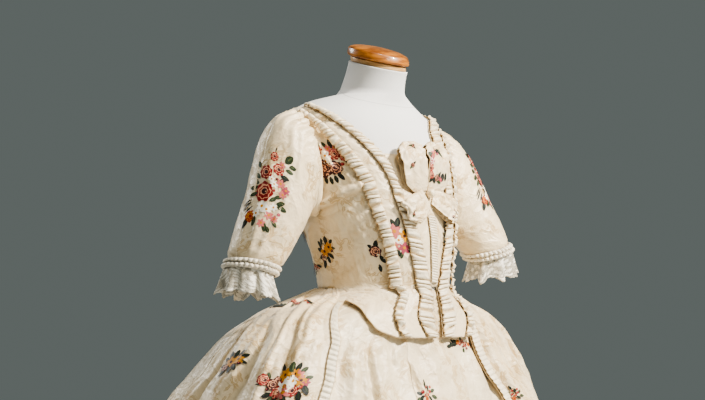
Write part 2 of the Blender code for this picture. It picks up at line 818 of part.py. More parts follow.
def build_petticoat():
    def place(angle, drop):
        wave = 0.0
        if -60 < angle < 48:
            wave = math.sin((angle + 60) / 108 * PETTICOAT_WAVES * math.pi) ** 2
        depth = 0.0006 + 0.030 * drop if drop > 0.07 else 0.0
        return on_skirt(angle, drop, -SILK - depth * wave)

    gores = (
        ("petticoat_front_right", spread(8, -60, -12)),
        ("petticoat_front_left", spread(10, -12, 48)),
        ("petticoat_left", spread(6, 48, 128)),
        ("petticoat_back_left", spread(4, 128, 175)),
        ("petticoat_back_right", spread(4, 175, 222)),
        ("petticoat_right", spread(6, 222, 300)),
    )
    for name, angles in gores:
        angles = [angles[0] + 0.03] + angles[1:-1] + [angles[-1] - 0.03]
        drops = list(reversed(SKIRT_DROPS))
        if "front" in name:
            drops = sorted(set(SKIRT_DROPS) | {0.008, 0.023}, reverse=True)
        cloth(name, angles, drops, place, SILK, IVORY)


clear_scene()
GOWN = bpy.data.collections.new("english_gown")
bpy.context.scene.collection.children.link(GOWN)
build_form()
build_fronts()
build_backs()
build_robings()
for side_name in SIDES:
    build_ruffle(f"ruffle_outer_{side_name}", side_name, "outer", "frill")
    build_ruffle(f"ruffle_inner_{side_name}", side_name, "inner", "neck")
    build_sleeve(side_name)
build_stomacher()
build_bows()
build_overskirt()
build_skirt_trims()
build_petticoat()
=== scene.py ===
# English gown on a dress form: the looks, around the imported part. Metres, +Z up, front towards -Y.
import math

import bmesh
import bpy
import numpy as np
from mathutils import Matrix, Vector


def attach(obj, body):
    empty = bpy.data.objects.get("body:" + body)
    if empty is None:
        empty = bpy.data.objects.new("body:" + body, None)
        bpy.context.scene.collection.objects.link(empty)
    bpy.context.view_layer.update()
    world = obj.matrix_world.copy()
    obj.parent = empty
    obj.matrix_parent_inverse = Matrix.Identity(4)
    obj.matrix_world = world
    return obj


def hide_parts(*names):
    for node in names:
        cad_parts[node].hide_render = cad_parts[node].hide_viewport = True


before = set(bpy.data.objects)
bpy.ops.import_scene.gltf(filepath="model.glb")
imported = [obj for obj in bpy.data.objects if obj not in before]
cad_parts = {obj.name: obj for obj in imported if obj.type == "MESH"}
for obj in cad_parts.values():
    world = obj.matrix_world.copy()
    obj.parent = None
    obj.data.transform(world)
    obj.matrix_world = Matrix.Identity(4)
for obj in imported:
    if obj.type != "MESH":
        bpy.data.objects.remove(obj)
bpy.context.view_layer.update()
print("frame loaded")


def show(thing):
    bpy.context.scene.collection.objects.link(thing)


# Camera, placed by the photo's perspective
view = dict(azimuth=-50.0, distance=3.5, height=1.0, aside=0.0556, tilt=3.03, lens=96.51)
turn, tilt = math.radians(view["azimuth"]), math.radians(view["tilt"])
imageRight = Vector((math.cos(turn), math.sin(turn), 0))
level = Vector((-math.sin(turn), math.cos(turn), 0))
ahead = level * math.cos(tilt) + Vector((0, 0, math.sin(tilt)))
imageUp = imageRight.cross(ahead)
eye = Vector((math.sin(turn), -math.cos(turn), 0)) * view["distance"] - imageRight * view["aside"]
eye.z = view["height"]
lens = bpy.data.cameras.new("camera")
lens.lens = view["lens"]
lens.sensor_width = 36
lens.clip_end = 30
camera = bpy.data.objects.new("camera", lens)
pose = Matrix((imageRight, imageUp, -ahead)).transposed().to_4x4()
pose.translation = eye
camera.matrix_world = pose
show(camera)
bpy.context.scene.camera = camera
bpy.context.scene.view_settings.look = "AgX - High Contrast"


# Sizes, as the solids have them
def rows(columns, *values):
    return {name: np.array(column, float) for name, column in zip(columns.split(), zip(*values))}


waist = 1.020
silk, lap = 0.0015, 0.0009  # the cloth's wall, and what one layer stands over the next
torso = rows(
    "height width front back side",
    (0.800, 0.138, 0.096, 0.112, 0.000),
    (0.860, 0.150, 0.106, 0.124, 0.000),
    (0.930, 0.146, 0.108, 0.124, 0.000),
    (0.975, 0.132, 0.110, 0.118, 0.000),
    (1.020, 0.121, 0.114, 0.111, 0.000),
    (1.060, 0.127, 0.117, 0.117, 0.002),
    (1.100, 0.138, 0.117, 0.128, 0.005),
    (1.150, 0.154, 0.111, 0.145, 0.010),
    (1.200, 0.165, 0.103, 0.150, 0.016),
    (1.250, 0.172, 0.091, 0.153, 0.022),
    (1.280, 0.175, 0.077, 0.155, 0.028),
    (1.300, 0.177, 0.066, 0.157, 0.035),
    (1.325, 0.175, 0.052, 0.158, 0.044),
    (1.340, 0.166, 0.044, 0.157, 0.052),
    (1.352, 0.147, 0.037, 0.154, 0.055),
    (1.366, 0.114, 0.034, 0.144, 0.052),
    (1.381, 0.066, 0.035, 0.093, 0.028),
)
skirt = rows(
    "drop width front back",
    (0.000, 0.1231, 0.1161, 0.1131),
    (0.015, 0.143, 0.119, 0.153),
    (0.030, 0.192, 0.121, 0.168),
    (0.045, 0.240, 0.122, 0.175),
    (0.060, 0.274, 0.123, 0.183),
    (0.090, 0.315, 0.127, 0.212),
    (0.120, 0.338, 0.134, 0.241),
    (0.150, 0.353, 0.146, 0.272),
    (0.200, 0.370, 0.164, 0.338),
    (0.300, 0.400, 0.198, 0.400),
    (0.400, 0.430, 0.228, 0.445),
    (0.600, 0.475, 0.273, 0.505),
    (0.800, 0.510, 0.308, 0.548),
    (0.995, 0.535, 0.338, 0.580),
)
fronts = {
    "right": rows(
        "neckHeight sideHeight neck inner outer frill side",
        (1.020, 1.020, 4.5, 19.0, 34.0, 44.0, 95.0),
        (1.060, 1.060, 9.0, 22.0, 36.0, 45.0, 96.0),
        (1.110, 1.110, 14.5, 25.0, 38.0, 46.0, 97.0),
        (1.150, 1.150, 19.0, 27.0, 40.0, 48.0, 96.0),
        (1.158, 1.154, 20.0, 27.7, 40.4, 48.5, 95.5),
        (1.168, 1.161, 21.0, 28.4, 40.9, 49.1, 92.5),
        (1.180, 1.170, 22.5, 29.5, 41.5, 50.0, 90.4),
        (1.212, 1.200, 25.2, 31.0, 43.0, 52.0, 87.0),
        (1.242, 1.228, 28.0, 35.0, 48.0, 57.0, 85.8),
        (1.272, 1.256, 34.0, 41.5, 54.5, 63.0, 85.9),
        (1.298, 1.280, 41.5, 48.5, 61.0, 69.0, 87.2),
        (1.320, 1.302, 50.0, 57.0, 68.0, 74.5, 89.8),
        (1.338, 1.318, 63.0, 69.0, 77.5, 82.5, 93.2),
        (1.347, 1.325, 77.0, 80.0, 86.0, 90.0, 95.5),
        (1.351, 1.327, 88.0, 89.6, 93.5, 96.0, 98.0),
    ),
}
fronts["left"] = dict(fronts["right"], **rows(  # with the same heights and side line
    "neck inner outer frill",
    (4.5, 19.0, 34.0, 44.0), (9.0, 22.0, 36.0, 45.0), (14.0, 25.0, 38.0, 46.0), (17.0, 27.0, 40.0, 48.0),
    (17.8, 27.5, 40.4, 48.5), (18.6, 28.2, 40.9, 49.1), (19.5, 29.0, 41.5, 50.0), (20.5, 29.5, 42.0, 51.0),
    (21.0, 30.0, 43.0, 53.0), (21.5, 31.5, 45.0, 56.0), (22.5, 34.0, 49.0, 60.0), (27.0, 39.0, 55.0, 67.0),
    (40.0, 51.0, 66.0, 76.0), (62.0, 68.0, 79.0, 86.5), (86.0, 88.4, 93.0, 96.0),
))
backs = rows(
    "sideHeight centreHeight side",
    (1.020, 1.020, 95.0),
    (1.060, 1.060, 96.0),
    (1.110, 1.108, 97.0),
    (1.150, 1.146, 96.0),
    (1.160, 1.158, 101.0),
    (1.170, 1.170, 103.5),
    (1.200, 1.202, 107.0),
    (1.240, 1.240, 108.3),
    (1.280, 1.278, 106.8),
    (1.310, 1.303, 102.6),
    (1.327, 1.318, 98.2),
    (1.340, 1.330, 93.2),
    (1.351, 1.340, 88.2),
)
flapLines = {  # the angles at which the front's lines end on the flap's lower edge
    "right": dict(neck=0.7, inner=4.5, outer=12.3, frill=15.5),
    "left": dict(neck=0.6, inner=3.0, outer=9.8, frill=12.4),
}
flapSideDrop = {"right": 0.028, "left": 0.089}  # how far down each flap's side edge ends
flapEdge = rows(
    "angle drop",
    (0.0, 0.090), (9.0, 0.089), (16.0, 0.089), (20.0, 0.085),
    (28.0, 0.074), (35.0, 0.058), (47.0, 0.040), (64.0, 0.028),
)
skirtEdges = rows(
    "drop right left",
    (0.000, 84.0, 46.0),
    (0.015, 75.0, 31.0),
    (0.030, 66.0, 23.0),
    (0.060, 52.0, 16.5),
    (0.100, 44.0, 14.5),
    (0.150, 45.0, 15.5),
    (0.200, 48.5, 20.5),
    (0.400, 52.0, 26.0),
    (0.700, 56.0, 31.0),
    (0.995, 60.0, 36.0),
)
foldDepth = rows("drop depth", (0.0, 0.0015), (0.05, 0.005), (0.12, 0.012), (0.3, 0.020), (1.0, 0.034))
foldMarks = [0.020, 0.086, 0.152]  # the valleys between the overskirt's folds, as shares of the way round
while len(foldMarks) < 21:
    foldMarks.append(min(foldMarks[-1] + 0.0457, 0.98))
foldMarks[-1] = 0.98
foldMarks = np.array(foldMarks)
sleeveColumns = "inX inHeight outX outHeight middle halfDepth"
sleeves = {
    "right": rows(
        sleeveColumns,
        (0.176, 1.163, 0.213, 1.331, 0.034, 0.044),
        (0.181, 1.158, 0.243, 1.318, 0.038, 0.046),
        (0.185, 1.150, 0.264, 1.285, 0.041, 0.047),
        (0.190, 1.140, 0.277, 1.242, 0.044, 0.049),
        (0.197, 1.126, 0.287, 1.200, 0.046, 0.049),
        (0.207, 1.108, 0.299, 1.158, 0.052, 0.048),
        (0.223, 1.082, 0.311, 1.114, 0.058, 0.046),
        (0.242, 1.052, 0.325, 1.071, 0.064, 0.0435),
    ),
    "left": rows(
        sleeveColumns,
        (0.176, 1.163, 0.203, 1.324, 0.028, 0.044),
        (0.181, 1.158, 0.230, 1.313, 0.022, 0.046),
        (0.185, 1.152, 0.252, 1.285, 0.015, 0.047),
        (0.190, 1.144, 0.270, 1.250, 0.007, 0.048),
        (0.199, 1.134, 0.286, 1.214, -0.003, 0.047),
        (0.211, 1.120, 0.300, 1.178, -0.013, 0.046),
        (0.225, 1.104, 0.313, 1.144, -0.023, 0.044),
        (0.239, 1.087, 0.325, 1.112, -0.031, 0.042),
    ),
}
armhole = dict(angle=97.0, halfAngle=12.5, height=1.238, halfHeight=0.086)
sides = {"right": -1, "left": 1}


# Surfaces: every place function takes arrays and gives an array of points
def lookUp(table, key, column, at):
    keys, values = table[key], table[column]
    slopes = np.diff(values) / np.diff(keys)
    tangents = np.concatenate((slopes[:1], np.zeros(len(keys) - 2), slopes[-1:]))
    product, total = slopes[:-1] * slopes[1:], slopes[:-1] + slopes[1:]
    tangents[1:-1] = np.where(product <= 0, 0, 2 * product / np.where(total == 0, 1, total))
    at = np.clip(at, keys[0], keys[-1])
    i = np.clip(np.searchsorted(keys, at) - 1, 0, len(keys) - 2)
    step = keys[i + 1] - keys[i]
    t = (at - keys[i]) / step
    rise, start, end = values[i + 1] - values[i], tangents[i] * step, tangents[i + 1] * step
    return values[i] + t * (start + t * (3 * rise - 2 * start - end + t * (start + end - 2 * rise)))


def atStation(table, column, at):  # a table's rows are its stations, from 0
    return lookUp(dict(table, station=np.arange(len(table[column]), dtype=float)), "station", column, at)


def mix(a, b, share):
    return a + (b - a) * share


def smooth(low, high, x):
    t = np.clip((x - low) / (high - low), 0, 1)
    return t * t * (3 - 2 * t)


def ripple(x, y, size, seed=0):  # soft unevenness, about -1 to 1
    total = 0.0
    for k in range(6):
        way = seed * 1.7 + k * 2.399
        pace = 2 * math.pi / (size * (0.7 + 0.13 * k))
        total = total + np.sin((x * math.cos(way) + y * math.sin(way)) * pace + seed * 3.1 + k * k)
    return total / 4


def uneven(x, y, layers):  # layers of ripples: height, how far y runs, size, seed
    return sum(height * ripple(x, y * run, size, seed) for height, run, size, seed in layers)


def creased(x, y, creases):  # ridges and troughs along given lines: points, height, width
    total = np.zeros(np.broadcast(x, y).shape)
    for points, height, width in creases:
        near = np.full(total.shape, 9.0)
        for (ax, ay), (bx, by) in zip(points, points[1:]):
            run = (bx - ax) ** 2 + (by - ay) ** 2
            t = np.clip(((x - ax) * (bx - ax) + (y - ay) * (by - ay)) / run, 0, 1)
            near = np.minimum(near, np.hypot(x - ax - t * (bx - ax), y - ay - t * (by - ay)))
        total += height * np.exp(-((near / width) ** 2))
    return total


def stretchLines(creases, factor):  # the same lines with their second coordinate multiplied
    return [(tuple((a, b * factor) for a, b in line), height, width) for line, height, width in creases]


def normalTo(along, up):
    normal = np.cross(along, up)
    return normal / (np.linalg.norm(normal, axis=-1, keepdims=True) + 1e-12)


def raised(point, u, v, lift, du=0.4, dv=0.0012):  # moved out along the normal; u runs left, v up
    along, up = point(u + du, v) - point(u - du, v), point(u, v + dv) - point(u, v - dv)
    return point(u, v) + normalTo(along, up) * np.asarray(lift)[..., None]


def torsoPoint(angle, height):
    angle, height = np.broadcast_arrays(angle, height)
    width, front, back, side = (lookUp(torso, "height", c, height) for c in ("width", "front", "back", "side"))
    way = np.radians(angle)
    reach = np.where(np.cos(way) > 0, front + side, back - side)
    return np.stack((width * np.sin(way), side - reach * np.cos(way), height), -1)


def skirtPoint(angle, height):
    angle, height = np.broadcast_arrays(angle, height)
    drop = waist - height
    width, front, back = (lookUp(skirt, "drop", c, drop) for c in ("width", "front", "back"))
    way = np.radians(angle)
    power = 2 / (2 + 0.4 * np.clip(drop / 0.05, 0, 1))
    sine, cosine = np.sin(way), np.cos(way)
    x = width * np.sign(sine) * np.abs(sine) ** power
    y = -np.where(cosine > 0, front, back) * np.sign(cosine) * np.abs(cosine) ** power
    return np.stack((x, y, height), -1)


def onTorso(angle, height, lift):
    return raised(torsoPoint, angle, height, lift)


def onSkirt(angle, drop, lift):
    return raised(skirtPoint, angle, waist - drop, lift)


def bodiceLift(height):
    return mix(0.0030, 0.0012, np.clip((height - waist) / 0.040, 0, 1))


metresPerDegree = 0.0026  # round the torso, for creases laid out by angle and height
bodiceShadows = [  # painted shade beside the creases, where the silk looks darkest in the photo
    (((-0.316, 1.148), (-0.248, 1.159), (-0.205, 1.169), (-0.169, 1.183), (-0.135, 1.196)), 0.30, 0.0040),
    (((-0.180, 1.115), (-0.152, 1.126), (-0.129, 1.137)), 0.28, 0.0026),
    (((-0.300, 1.024), (-0.242, 1.038), (-0.198, 1.054), (-0.160, 1.078)), 0.30, 0.0016),
    (((-0.276, 1.130), (-0.288, 1.108), (-0.292, 1.070)), 0.22, 0.0045),
    (((-0.200, 1.286), (-0.186, 1.258), (-0.178, 1.238)), 0.22, 0.0040),
    (((-0.160, 1.222), (-0.146, 1.208), (-0.128, 1.202)), 0.20, 0.0040),
]
bodiceCreases = [  # from the photo: the pull from the underarm, the pulls at the breast, the seams
    (((-0.316, 1.157), (-0.248, 1.168), (-0.205, 1.178), (-0.169, 1.192), (-0.138, 1.203)), 0.0042, 0.0052),
    (((-0.316, 1.140), (-0.248, 1.155), (-0.205, 1.165), (-0.150, 1.184)), -0.0016, 0.0090),
    (((-0.180, 1.119), (-0.152, 1.130), (-0.129, 1.141)), 0.0014, 0.0028),
    (((-0.180, 1.112), (-0.152, 1.123), (-0.129, 1.134)), -0.0006, 0.0040),
    (((-0.283, 1.130), (-0.296, 1.108), (-0.300, 1.070)), 0.0030, 0.0060),
    (((-0.262, 1.128), (-0.272, 1.100)), -0.0010, 0.0050),
    (((-0.316, 1.024), (-0.242, 1.038), (-0.198, 1.054), (-0.160, 1.078)), 0.0009, 0.0016),
    (((-0.210, 1.290), (-0.196, 1.262), (-0.186, 1.240)), 0.0022, 0.0050),
    (((-0.178, 1.296), (-0.160, 1.270)), 0.0016, 0.0040),
    (((-0.165, 1.226), (-0.150, 1.214), (-0.132, 1.208)), 0.0018, 0.0050),
    (((0.300, 1.157), (0.240, 1.168), (0.190, 1.182)), 0.0036, 0.0055),
    (((0.280, 1.130), (0.296, 1.100), (0.300, 1.060)), 0.0026, 0.0070),
    (((0.316, 1.024), (0.242, 1.038), (0.198, 1.054), (0.160, 1.078)), 0.0009, 0.0016),
]


bodiceFolds = dict(creaseFactor=2.5, soft=((0.0011, 1, 0.050, 2), (0.0010, 1, 0.021, 5), (0.0005, 1, 0.009, 8)))


def bodiceRelief(angle, height):
    x = angle * metresPerDegree
    relief = bodiceFolds["creaseFactor"] * creased(x, height, bodiceCreases)
    relief = relief + uneven(x, height, bodiceFolds["soft"])
    right, left = (lookUp(fronts[side], "neckHeight", "outer", height) for side in ("right", "left"))
    edge = np.where(angle < 0, right, left)
    free = smooth(0.5, 5.0, np.abs(angle) - edge) * smooth(waist + 0.001, waist + 0.02, height)
    return np.maximum(relief + 0.0006, -0.0006) * free


def onBodice(angle, height, lift):
    return onTorso(angle, height, bodiceLift(height) + bodiceRelief(angle, height) + lift)


def frontLine(side, station, line):
    return atStation(fronts[side], line, station)


def skirtEdge(side, drop):
    return lookUp(skirtEdges, "drop", side, drop)


def lineAngle(side, station, line):
    below = np.maximum(-station, 0)
    above = frontLine(side, np.maximum(station, 0), line)
    if line == "side":
        return np.where(station < 0, skirtEdge(side, below * flapSideDrop[side]) - 1.6, above)
    return np.where(station < 0, mix(frontLine(side, 0, line), flapLines[side][line], below ** 0.62), above)


# Above the waist the station counts rows of the front's table; below it is minus the share of the flap
def onFront(side, station, angle, lift, relief=False):
    station, angle, lift = np.broadcast_arrays(station, angle, lift)
    up = np.maximum(station, 0)
    neck, edge = frontLine(side, up, "neck"), frontLine(side, up, "side")
    low, high = frontLine(side, up, "neckHeight"), frontLine(side, up, "sideHeight")
    height = mix(low, high, (angle - neck) / (edge - neck))
    signed = sides[side] * angle
    above = (onBodice if relief else plainBodice)(signed, height, lift)
    drop = mix(0.0016, lookUp(flapEdge, "angle", "drop", angle), np.maximum(-station, 0))
    below = onSkirt(signed, drop, lift + 0.0017 + 0.0040 * smooth(0.35, 1.0, -station))
    return np.where((station < 0)[..., None], below, above)


def plainBodice(angle, height, lift):
    return onTorso(angle, height, bodiceLift(height) + lift)


# Making pieces
def finishMesh(name, maker, finish, replaced, wall=0.0):
    material, slotName = finish
    mesh = bpy.data.meshes.new(name)
    maker.to_mesh(mesh)
    maker.free()
    mesh.materials.append(material)
    mesh.polygons.foreach_set("use_smooth", [True] * len(mesh.polygons))
    piece = bpy.data.objects.new(name, mesh)
    show(piece)
    if wall:
        thicken = piece.modifiers.new("wall", "SOLIDIFY")
        thicken.thickness = wall
        thicken.offset = 1
    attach(piece, "root")
    if replaced:
        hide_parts(*replaced)
    return piece


# A grid laid through place(u, v): its cut in metres is the UV, its worn edges and the painted shade of its
# folds an attribute
def layCloth(name, us, vs, place, wall, finish, closed=False, tint=None, replaced=None):
    maker = bmesh.new()
    bmesh.ops.create_grid(maker, x_segments=len(us) - 1, y_segments=len(vs) - 1, size=0.5)
    maker.verts.ensure_lookup_table()
    gridU, gridV = np.meshgrid(us, vs)
    points = place(gridU, gridV)
    steps = [np.linalg.norm(np.diff(points, axis=axis), axis=-1) for axis in (0, 1)]
    down = np.concatenate(([0.0], np.cumsum(steps[0].mean(1))))
    across = np.concatenate((np.zeros((len(vs), 1)), np.cumsum(steps[1], 1)), 1)
    across -= across[:, len(us) // 2][:, None]
    tints = np.zeros(gridU.shape) if tint is None else tint(gridU, gridV) * np.ones(gridU.shape)
    uvLayer = maker.loops.layers.uv.new("cut")
    edgeAndShadeLayer = maker.verts.layers.float.new("edge")
    spot = {}
    for vertex in maker.verts:
        i, j = round((vertex.co.x + 0.5) * (len(us) - 1)), round((vertex.co.y + 0.5) * (len(vs) - 1))
        spot[vertex.index] = (across[j, i], down[j])
        vertex.co = points[j, i]
        vertex[edgeAndShadeLayer] = tints[j, i]
    for face in maker.faces:
        for loop in face.loops:
            loop[uvLayer].uv = spot[loop.vert.index]
    if closed:
        bmesh.ops.remove_doubles(maker, verts=maker.verts, dist=1e-5)
    return finishMesh(name + "_cloth", maker, finish, replaced or [name], wall)


def spread(count, start=0.0, end=1.0):
    return np.linspace(start, end, count + 1)


# Materials
class NodeBoard:  # adds nodes to a tree and links them; a value is a number, a colour or another node's socket
    def __init__(self, tree):
        self.tree = tree

    def add(self, kind, **settings):
        node = self.tree.nodes.new(kind)
        for key, value in settings.items():
            setattr(node, key, value)
        return node

    def put(self, socket, value):
        if isinstance(value, bpy.types.NodeSocket):
            self.tree.links.new(value, socket)
        else:
            socket.default_value = value

    def math(self, operation, a, b=0.0, clamp=False):
        node = self.add("ShaderNodeMath", operation=operation, use_clamp=clamp)
        self.put(node.inputs[0], a)
        self.put(node.inputs[1], b)
        return node.outputs[0]

    def times(self, a, b, clamp=False):
        return self.math("MULTIPLY", a, b, clamp=clamp)

    def plus(self, a, b, clamp=False):
        return self.math("ADD", a, b, clamp=clamp)

    def minus(self, a, b):
        return self.math("SUBTRACT", a, b)

    def most(self, first, *others):
        for other in others:
            first = self.math("MAXIMUM", first, other)
        return first

    def vector(self, operation, a, b=(0, 0, 0), scale=None):
        node = self.add("ShaderNodeVectorMath", operation=operation)
        self.put(node.inputs[0], a)
        self.put(node.inputs[1], b)
        if scale is not None:
            self.put(node.inputs["Scale"], scale)
        return node.outputs[0]

    def filled(self, kind, values, **settings):  # a node whose inputs take these values; gives its outputs
        node = self.add(kind, **settings)
        for key, value in values.items():
            self.put(node.inputs[key], value)
        return node.outputs

    def ramp(self, low, high, value):
        values = {"Value": value, "From Min": low, "From Max": high}
        return self.filled("ShaderNodeMapRange", values, interpolation_type="SMOOTHSTEP")["Result"]

    def blend(self, share, a, b):
        return self.filled("ShaderNodeMix", {0: share, 6: a, 7: b}, data_type="RGBA")[2]

    def noise(self, where, scale, detail=2.0, output="Fac"):
        return self.filled("ShaderNodeTexNoise", {"Vector": where, "Scale": scale, "Detail": detail})[output]

    def split(self, vector):
        return self.filled("ShaderNodeSeparateXYZ", {0: vector})

    def cells(self, where, scale, **settings):
        values = {"Vector": where, "Scale": scale}
        return self.filled("ShaderNodeTexVoronoi", values, voronoi_dimensions="2D", **settings)

    def sway(self, where, scale, reach):  # moves the coordinates softly, so that no line is quite straight
        away = self.vector("SUBTRACT", self.noise(where, scale, output="Color"), (0.5, 0.5, 0.5))
        return self.vector("ADD", where, self.vector("SCALE", away, scale=reach))

    def group(self, tree, **values):
        return self.filled("ShaderNodeGroup", values, node_tree=tree)

    def attribute(self, name, output="Fac"):
        return self.add("ShaderNodeAttribute", attribute_name=name).outputs[output]

    def cut(self):  # the cloth's own flat coordinates, in metres
        return self.add("ShaderNodeUVMap", uv_map="cut").outputs[0]

    def here(self):
        return self.add("ShaderNodeTexCoord").outputs["Object"]

    def bump(self, shader, distance, height, under=None):
        values = {"Distance": distance, "Height": height} | ({} if under is None else {"Normal": under})
        normal = self.filled("ShaderNodeBump", values)[0]
        self.put(shader.inputs["Normal"], normal)
        return normal


def newGroup(name, inputs, outputs):
    group = bpy.data.node_groups.new(name, "ShaderNodeTree")
    for label, kind, value in inputs:
        socket = group.interface.new_socket(name=label, in_out="INPUT", socket_type=kind)
        if value is not None:
            socket.default_value = value
    for label in outputs:
        group.interface.new_socket(name=label, in_out="OUTPUT", socket_type="NodeSocketFloat")
    board = NodeBoard(group)
    return group, board, board.add("NodeGroupInput"), board.add("NodeGroupOutput")


# Pointed leaves with a mid rib, one to each cell, each turned its own way
def scatteredLeaves(board, where, cell, length, width, seed):
    moved = board.vector("ADD", where, (seed * 0.37, seed * 0.71, 0))
    cells = board.cells(moved, 1 / cell)
    spin = board.add("ShaderNodeVectorRotate", rotation_type="Z_AXIS")
    board.put(spin.inputs["Vector"], board.vector("SUBTRACT", moved, cells["Position"]))
    board.put(spin.inputs["Angle"], board.times(board.split(cells["Color"])[0], 6.283))
    x, y = board.split(spin.outputs[0])[:2]
    aside = board.math("ABSOLUTE", board.plus(y, board.times(board.times(x, x), 9.0)))
    share = board.math("DIVIDE", x, length)
    room = board.times(board.minus(1.0, board.times(share, share)), width)
    teeth = board.times(board.math("SINE", board.times(x, 9.0 / length)), width * 0.16)
    body = board.ramp(0.0, 0.0006, board.minus(board.plus(room, teeth), aside))
    return board.times(body, board.ramp(0.0002, 0.0005, aside))


figure = dict(  # the woven figure; a leaf has its cell, length and width in metres, and its seed
    smallLeaf=(0.016, 0.0085, 0.0030, 1.0), largeLeaf=(0.027, 0.0150, 0.0048, 2.0),
    stemScale=26.0, patchScale=14.0,
)
crumpleLayers = ((18.0, 1.0), (42.0, 0.45), (95.0, 0.2))  # small folds pressed into the silk: scale and share


def buildDamask():
    group, board, start, end = newGroup(
        "damask", [("Cut", "NodeSocketVector", None), ("Strength", "NodeSocketFloat", 1.0)], ["Leaves"])
    cut = start.outputs["Cut"]
    swayed = board.sway(cut, 30.0, 0.010)
    small = scatteredLeaves(board, swayed, *figure["smallLeaf"])
    large = scatteredLeaves(board, swayed, *figure["largeLeaf"])
    lines = board.noise(board.vector("MULTIPLY", cut, (1, 1, 0)), figure["stemScale"], 1.0)
    stems = board.minus(1.0, board.ramp(0.004, 0.012, board.math("ABSOLUTE", board.minus(lines, 0.5))))
    patches = board.ramp(0.44, 0.60, board.noise(cut, figure["patchScale"], 1.0))
    shown = board.most(small, large, stems)
    board.put(end.inputs["Leaves"], board.times(board.times(shown, patches), start.outputs["Strength"]))
    return group


def buildWeave():
    group, board, start, end = newGroup(
        "weave", [("Cut", "NodeSocketVector", None), ("Pitch", "NodeSocketFloat", 0.0006)], ["Height", "Slub"])
    cut = start.outputs["Cut"]
    perThread = board.math("DIVIDE", 6.283, start.outputs["Pitch"])
    x, y = board.split(board.vector("SCALE", cut, scale=perThread))[:2]
    slub = board.noise(board.vector("MULTIPLY", cut, (60, 900, 1)), 1.0, 3.0)
    board.put(end.inputs["Height"], board.plus(board.times(board.math("SINE", x), board.math("SINE", y)), slub))
    board.put(end.inputs["Slub"], slub)
    return group


def buildCrumple():
    group, board, start, end = newGroup("crumple", [("Cut", "NodeSocketVector", None)], ["Height"])
    swayed = board.sway(start.outputs["Cut"], 14.0, 0.05)
    total = 0.0
    for scale, share in crumpleLayers:
        level = board.math("ABSOLUTE", board.minus(board.noise(swayed, scale, 1.0), 0.5))
        ridge = board.minus(1.0, board.math("POWER", board.times(level, 5.0, clamp=True), 0.7))
        total = board.plus(total, board.times(ridge, share))
    board.put(end.inputs["Height"], total)
    return group


damask, weave, crumple = buildDamask(), buildWeave(), buildCrumple()


def newMaterial(name, roughness, sheen=0.0):
    material = bpy.data.materials.new(name)
    material.use_nodes = True
    shader = material.node_tree.nodes["Principled BSDF"]
    for key, value in (("Roughness", roughness), ("Sheen Weight", sheen), ("Sheen Roughness", 0.4)):
        shader.inputs[key].default_value = value
    return material, NodeBoard(material.node_tree), shader


def makeSilk(name, ground, thread, edgeAndShadeColour, strength=1.0, roughness=0.38, weaveBump=0.00002, creases=0.0014):
    material, board, shader = newMaterial(name, roughness, 0.25)
    cut = board.cut()
    leaves = board.group(damask, Cut=cut, Strength=strength)["Leaves"]
    cloth = board.group(weave, Cut=cut)
    worn = board.ramp(0.35, 0.75, board.noise(cut, 9.0, 3.0))
    base = board.blend(worn, (*ground, 1), (*[g * 0.90 for g in ground], 1))
    slubbed = board.blend(board.times(cloth["Slub"], 0.16), base, (*thread, 1))
    figured = board.blend(board.times(leaves, 0.80), slubbed, (*thread, 1))
    # the edge attribute mixes in the ochre of worn edges and the painted shade of folds and gaps
    board.put(shader.inputs["Base Color"], board.blend(board.attribute("edge"), figured, (*edgeAndShadeColour, 1)))
    board.put(shader.inputs["Roughness"], board.plus(roughness, board.times(leaves, 0.16)))
    fine = board.bump(shader, weaveBump, board.plus(cloth["Height"], board.times(leaves, 2.5)))
    board.bump(shader, creases, board.group(crumple, Cut=cut)["Height"], fine)
    return material


ivory, beige, ochre = (0.84, 0.70, 0.49), (0.55, 0.38, 0.19), (0.52, 0.31, 0.09)
# the cuff band's darker colour is painted shade, between its two rows of puffs
bandGround, bandThread, bandShade = (0.86, 0.78, 0.64), (0.66, 0.56, 0.42), (0.55, 0.42, 0.24)
# Each finish is a material with its slot's name
silkFinish = makeSilk("ivory_silk_brocade", ivory, beige, ochre), "ivory_silk"
ruffleFinish = makeSilk("ruffle_silk", (0.86, 0.76, 0.58), beige, ochre, strength=0.35), "ruffle_silk"
ruchingFinish = ruffleFinish[0], "ivory_silk"
petticoatFinish = makeSilk("petticoat_silk", (0.83, 0.71, 0.51), beige, ochre, strength=0.8), "ivory_silk"
bandFinish = makeSilk("cuff_band_silk", bandGround, bandThread, bandShade, strength=0.2), "ivory_silk"


def makeLace():
    material, board, shader = newMaterial("cream_floral_lace", 0.7, 0.3)
    cut = board.cut()
    leaves = board.group(damask, Cut=board.vector("SCALE", cut, scale=1.3))["Leaves"]
    net = board.cells(cut, 520.0, feature="DISTANCE_TO_EDGE")["Distance"]
    blooms = board.minus(1.0, board.ramp(0.30, 0.36, board.cells(cut, 85.0)["Distance"]))
    solid = board.most(board.times(blooms, 0.95), leaves)
    shown = board.most(board.minus(1.0, board.ramp(0.10, 0.22, net)), solid, board.attribute("edge"))
    board.put(shader.inputs["Alpha"], board.plus(board.times(shown, 0.74), 0.16, clamp=True))
    board.put(shader.inputs["Base Color"], board.blend(solid, (0.66, 0.60, 0.48, 1), (0.86, 0.81, 0.71, 1)))
    board.bump(shader, 0.0003, shown)
    return material


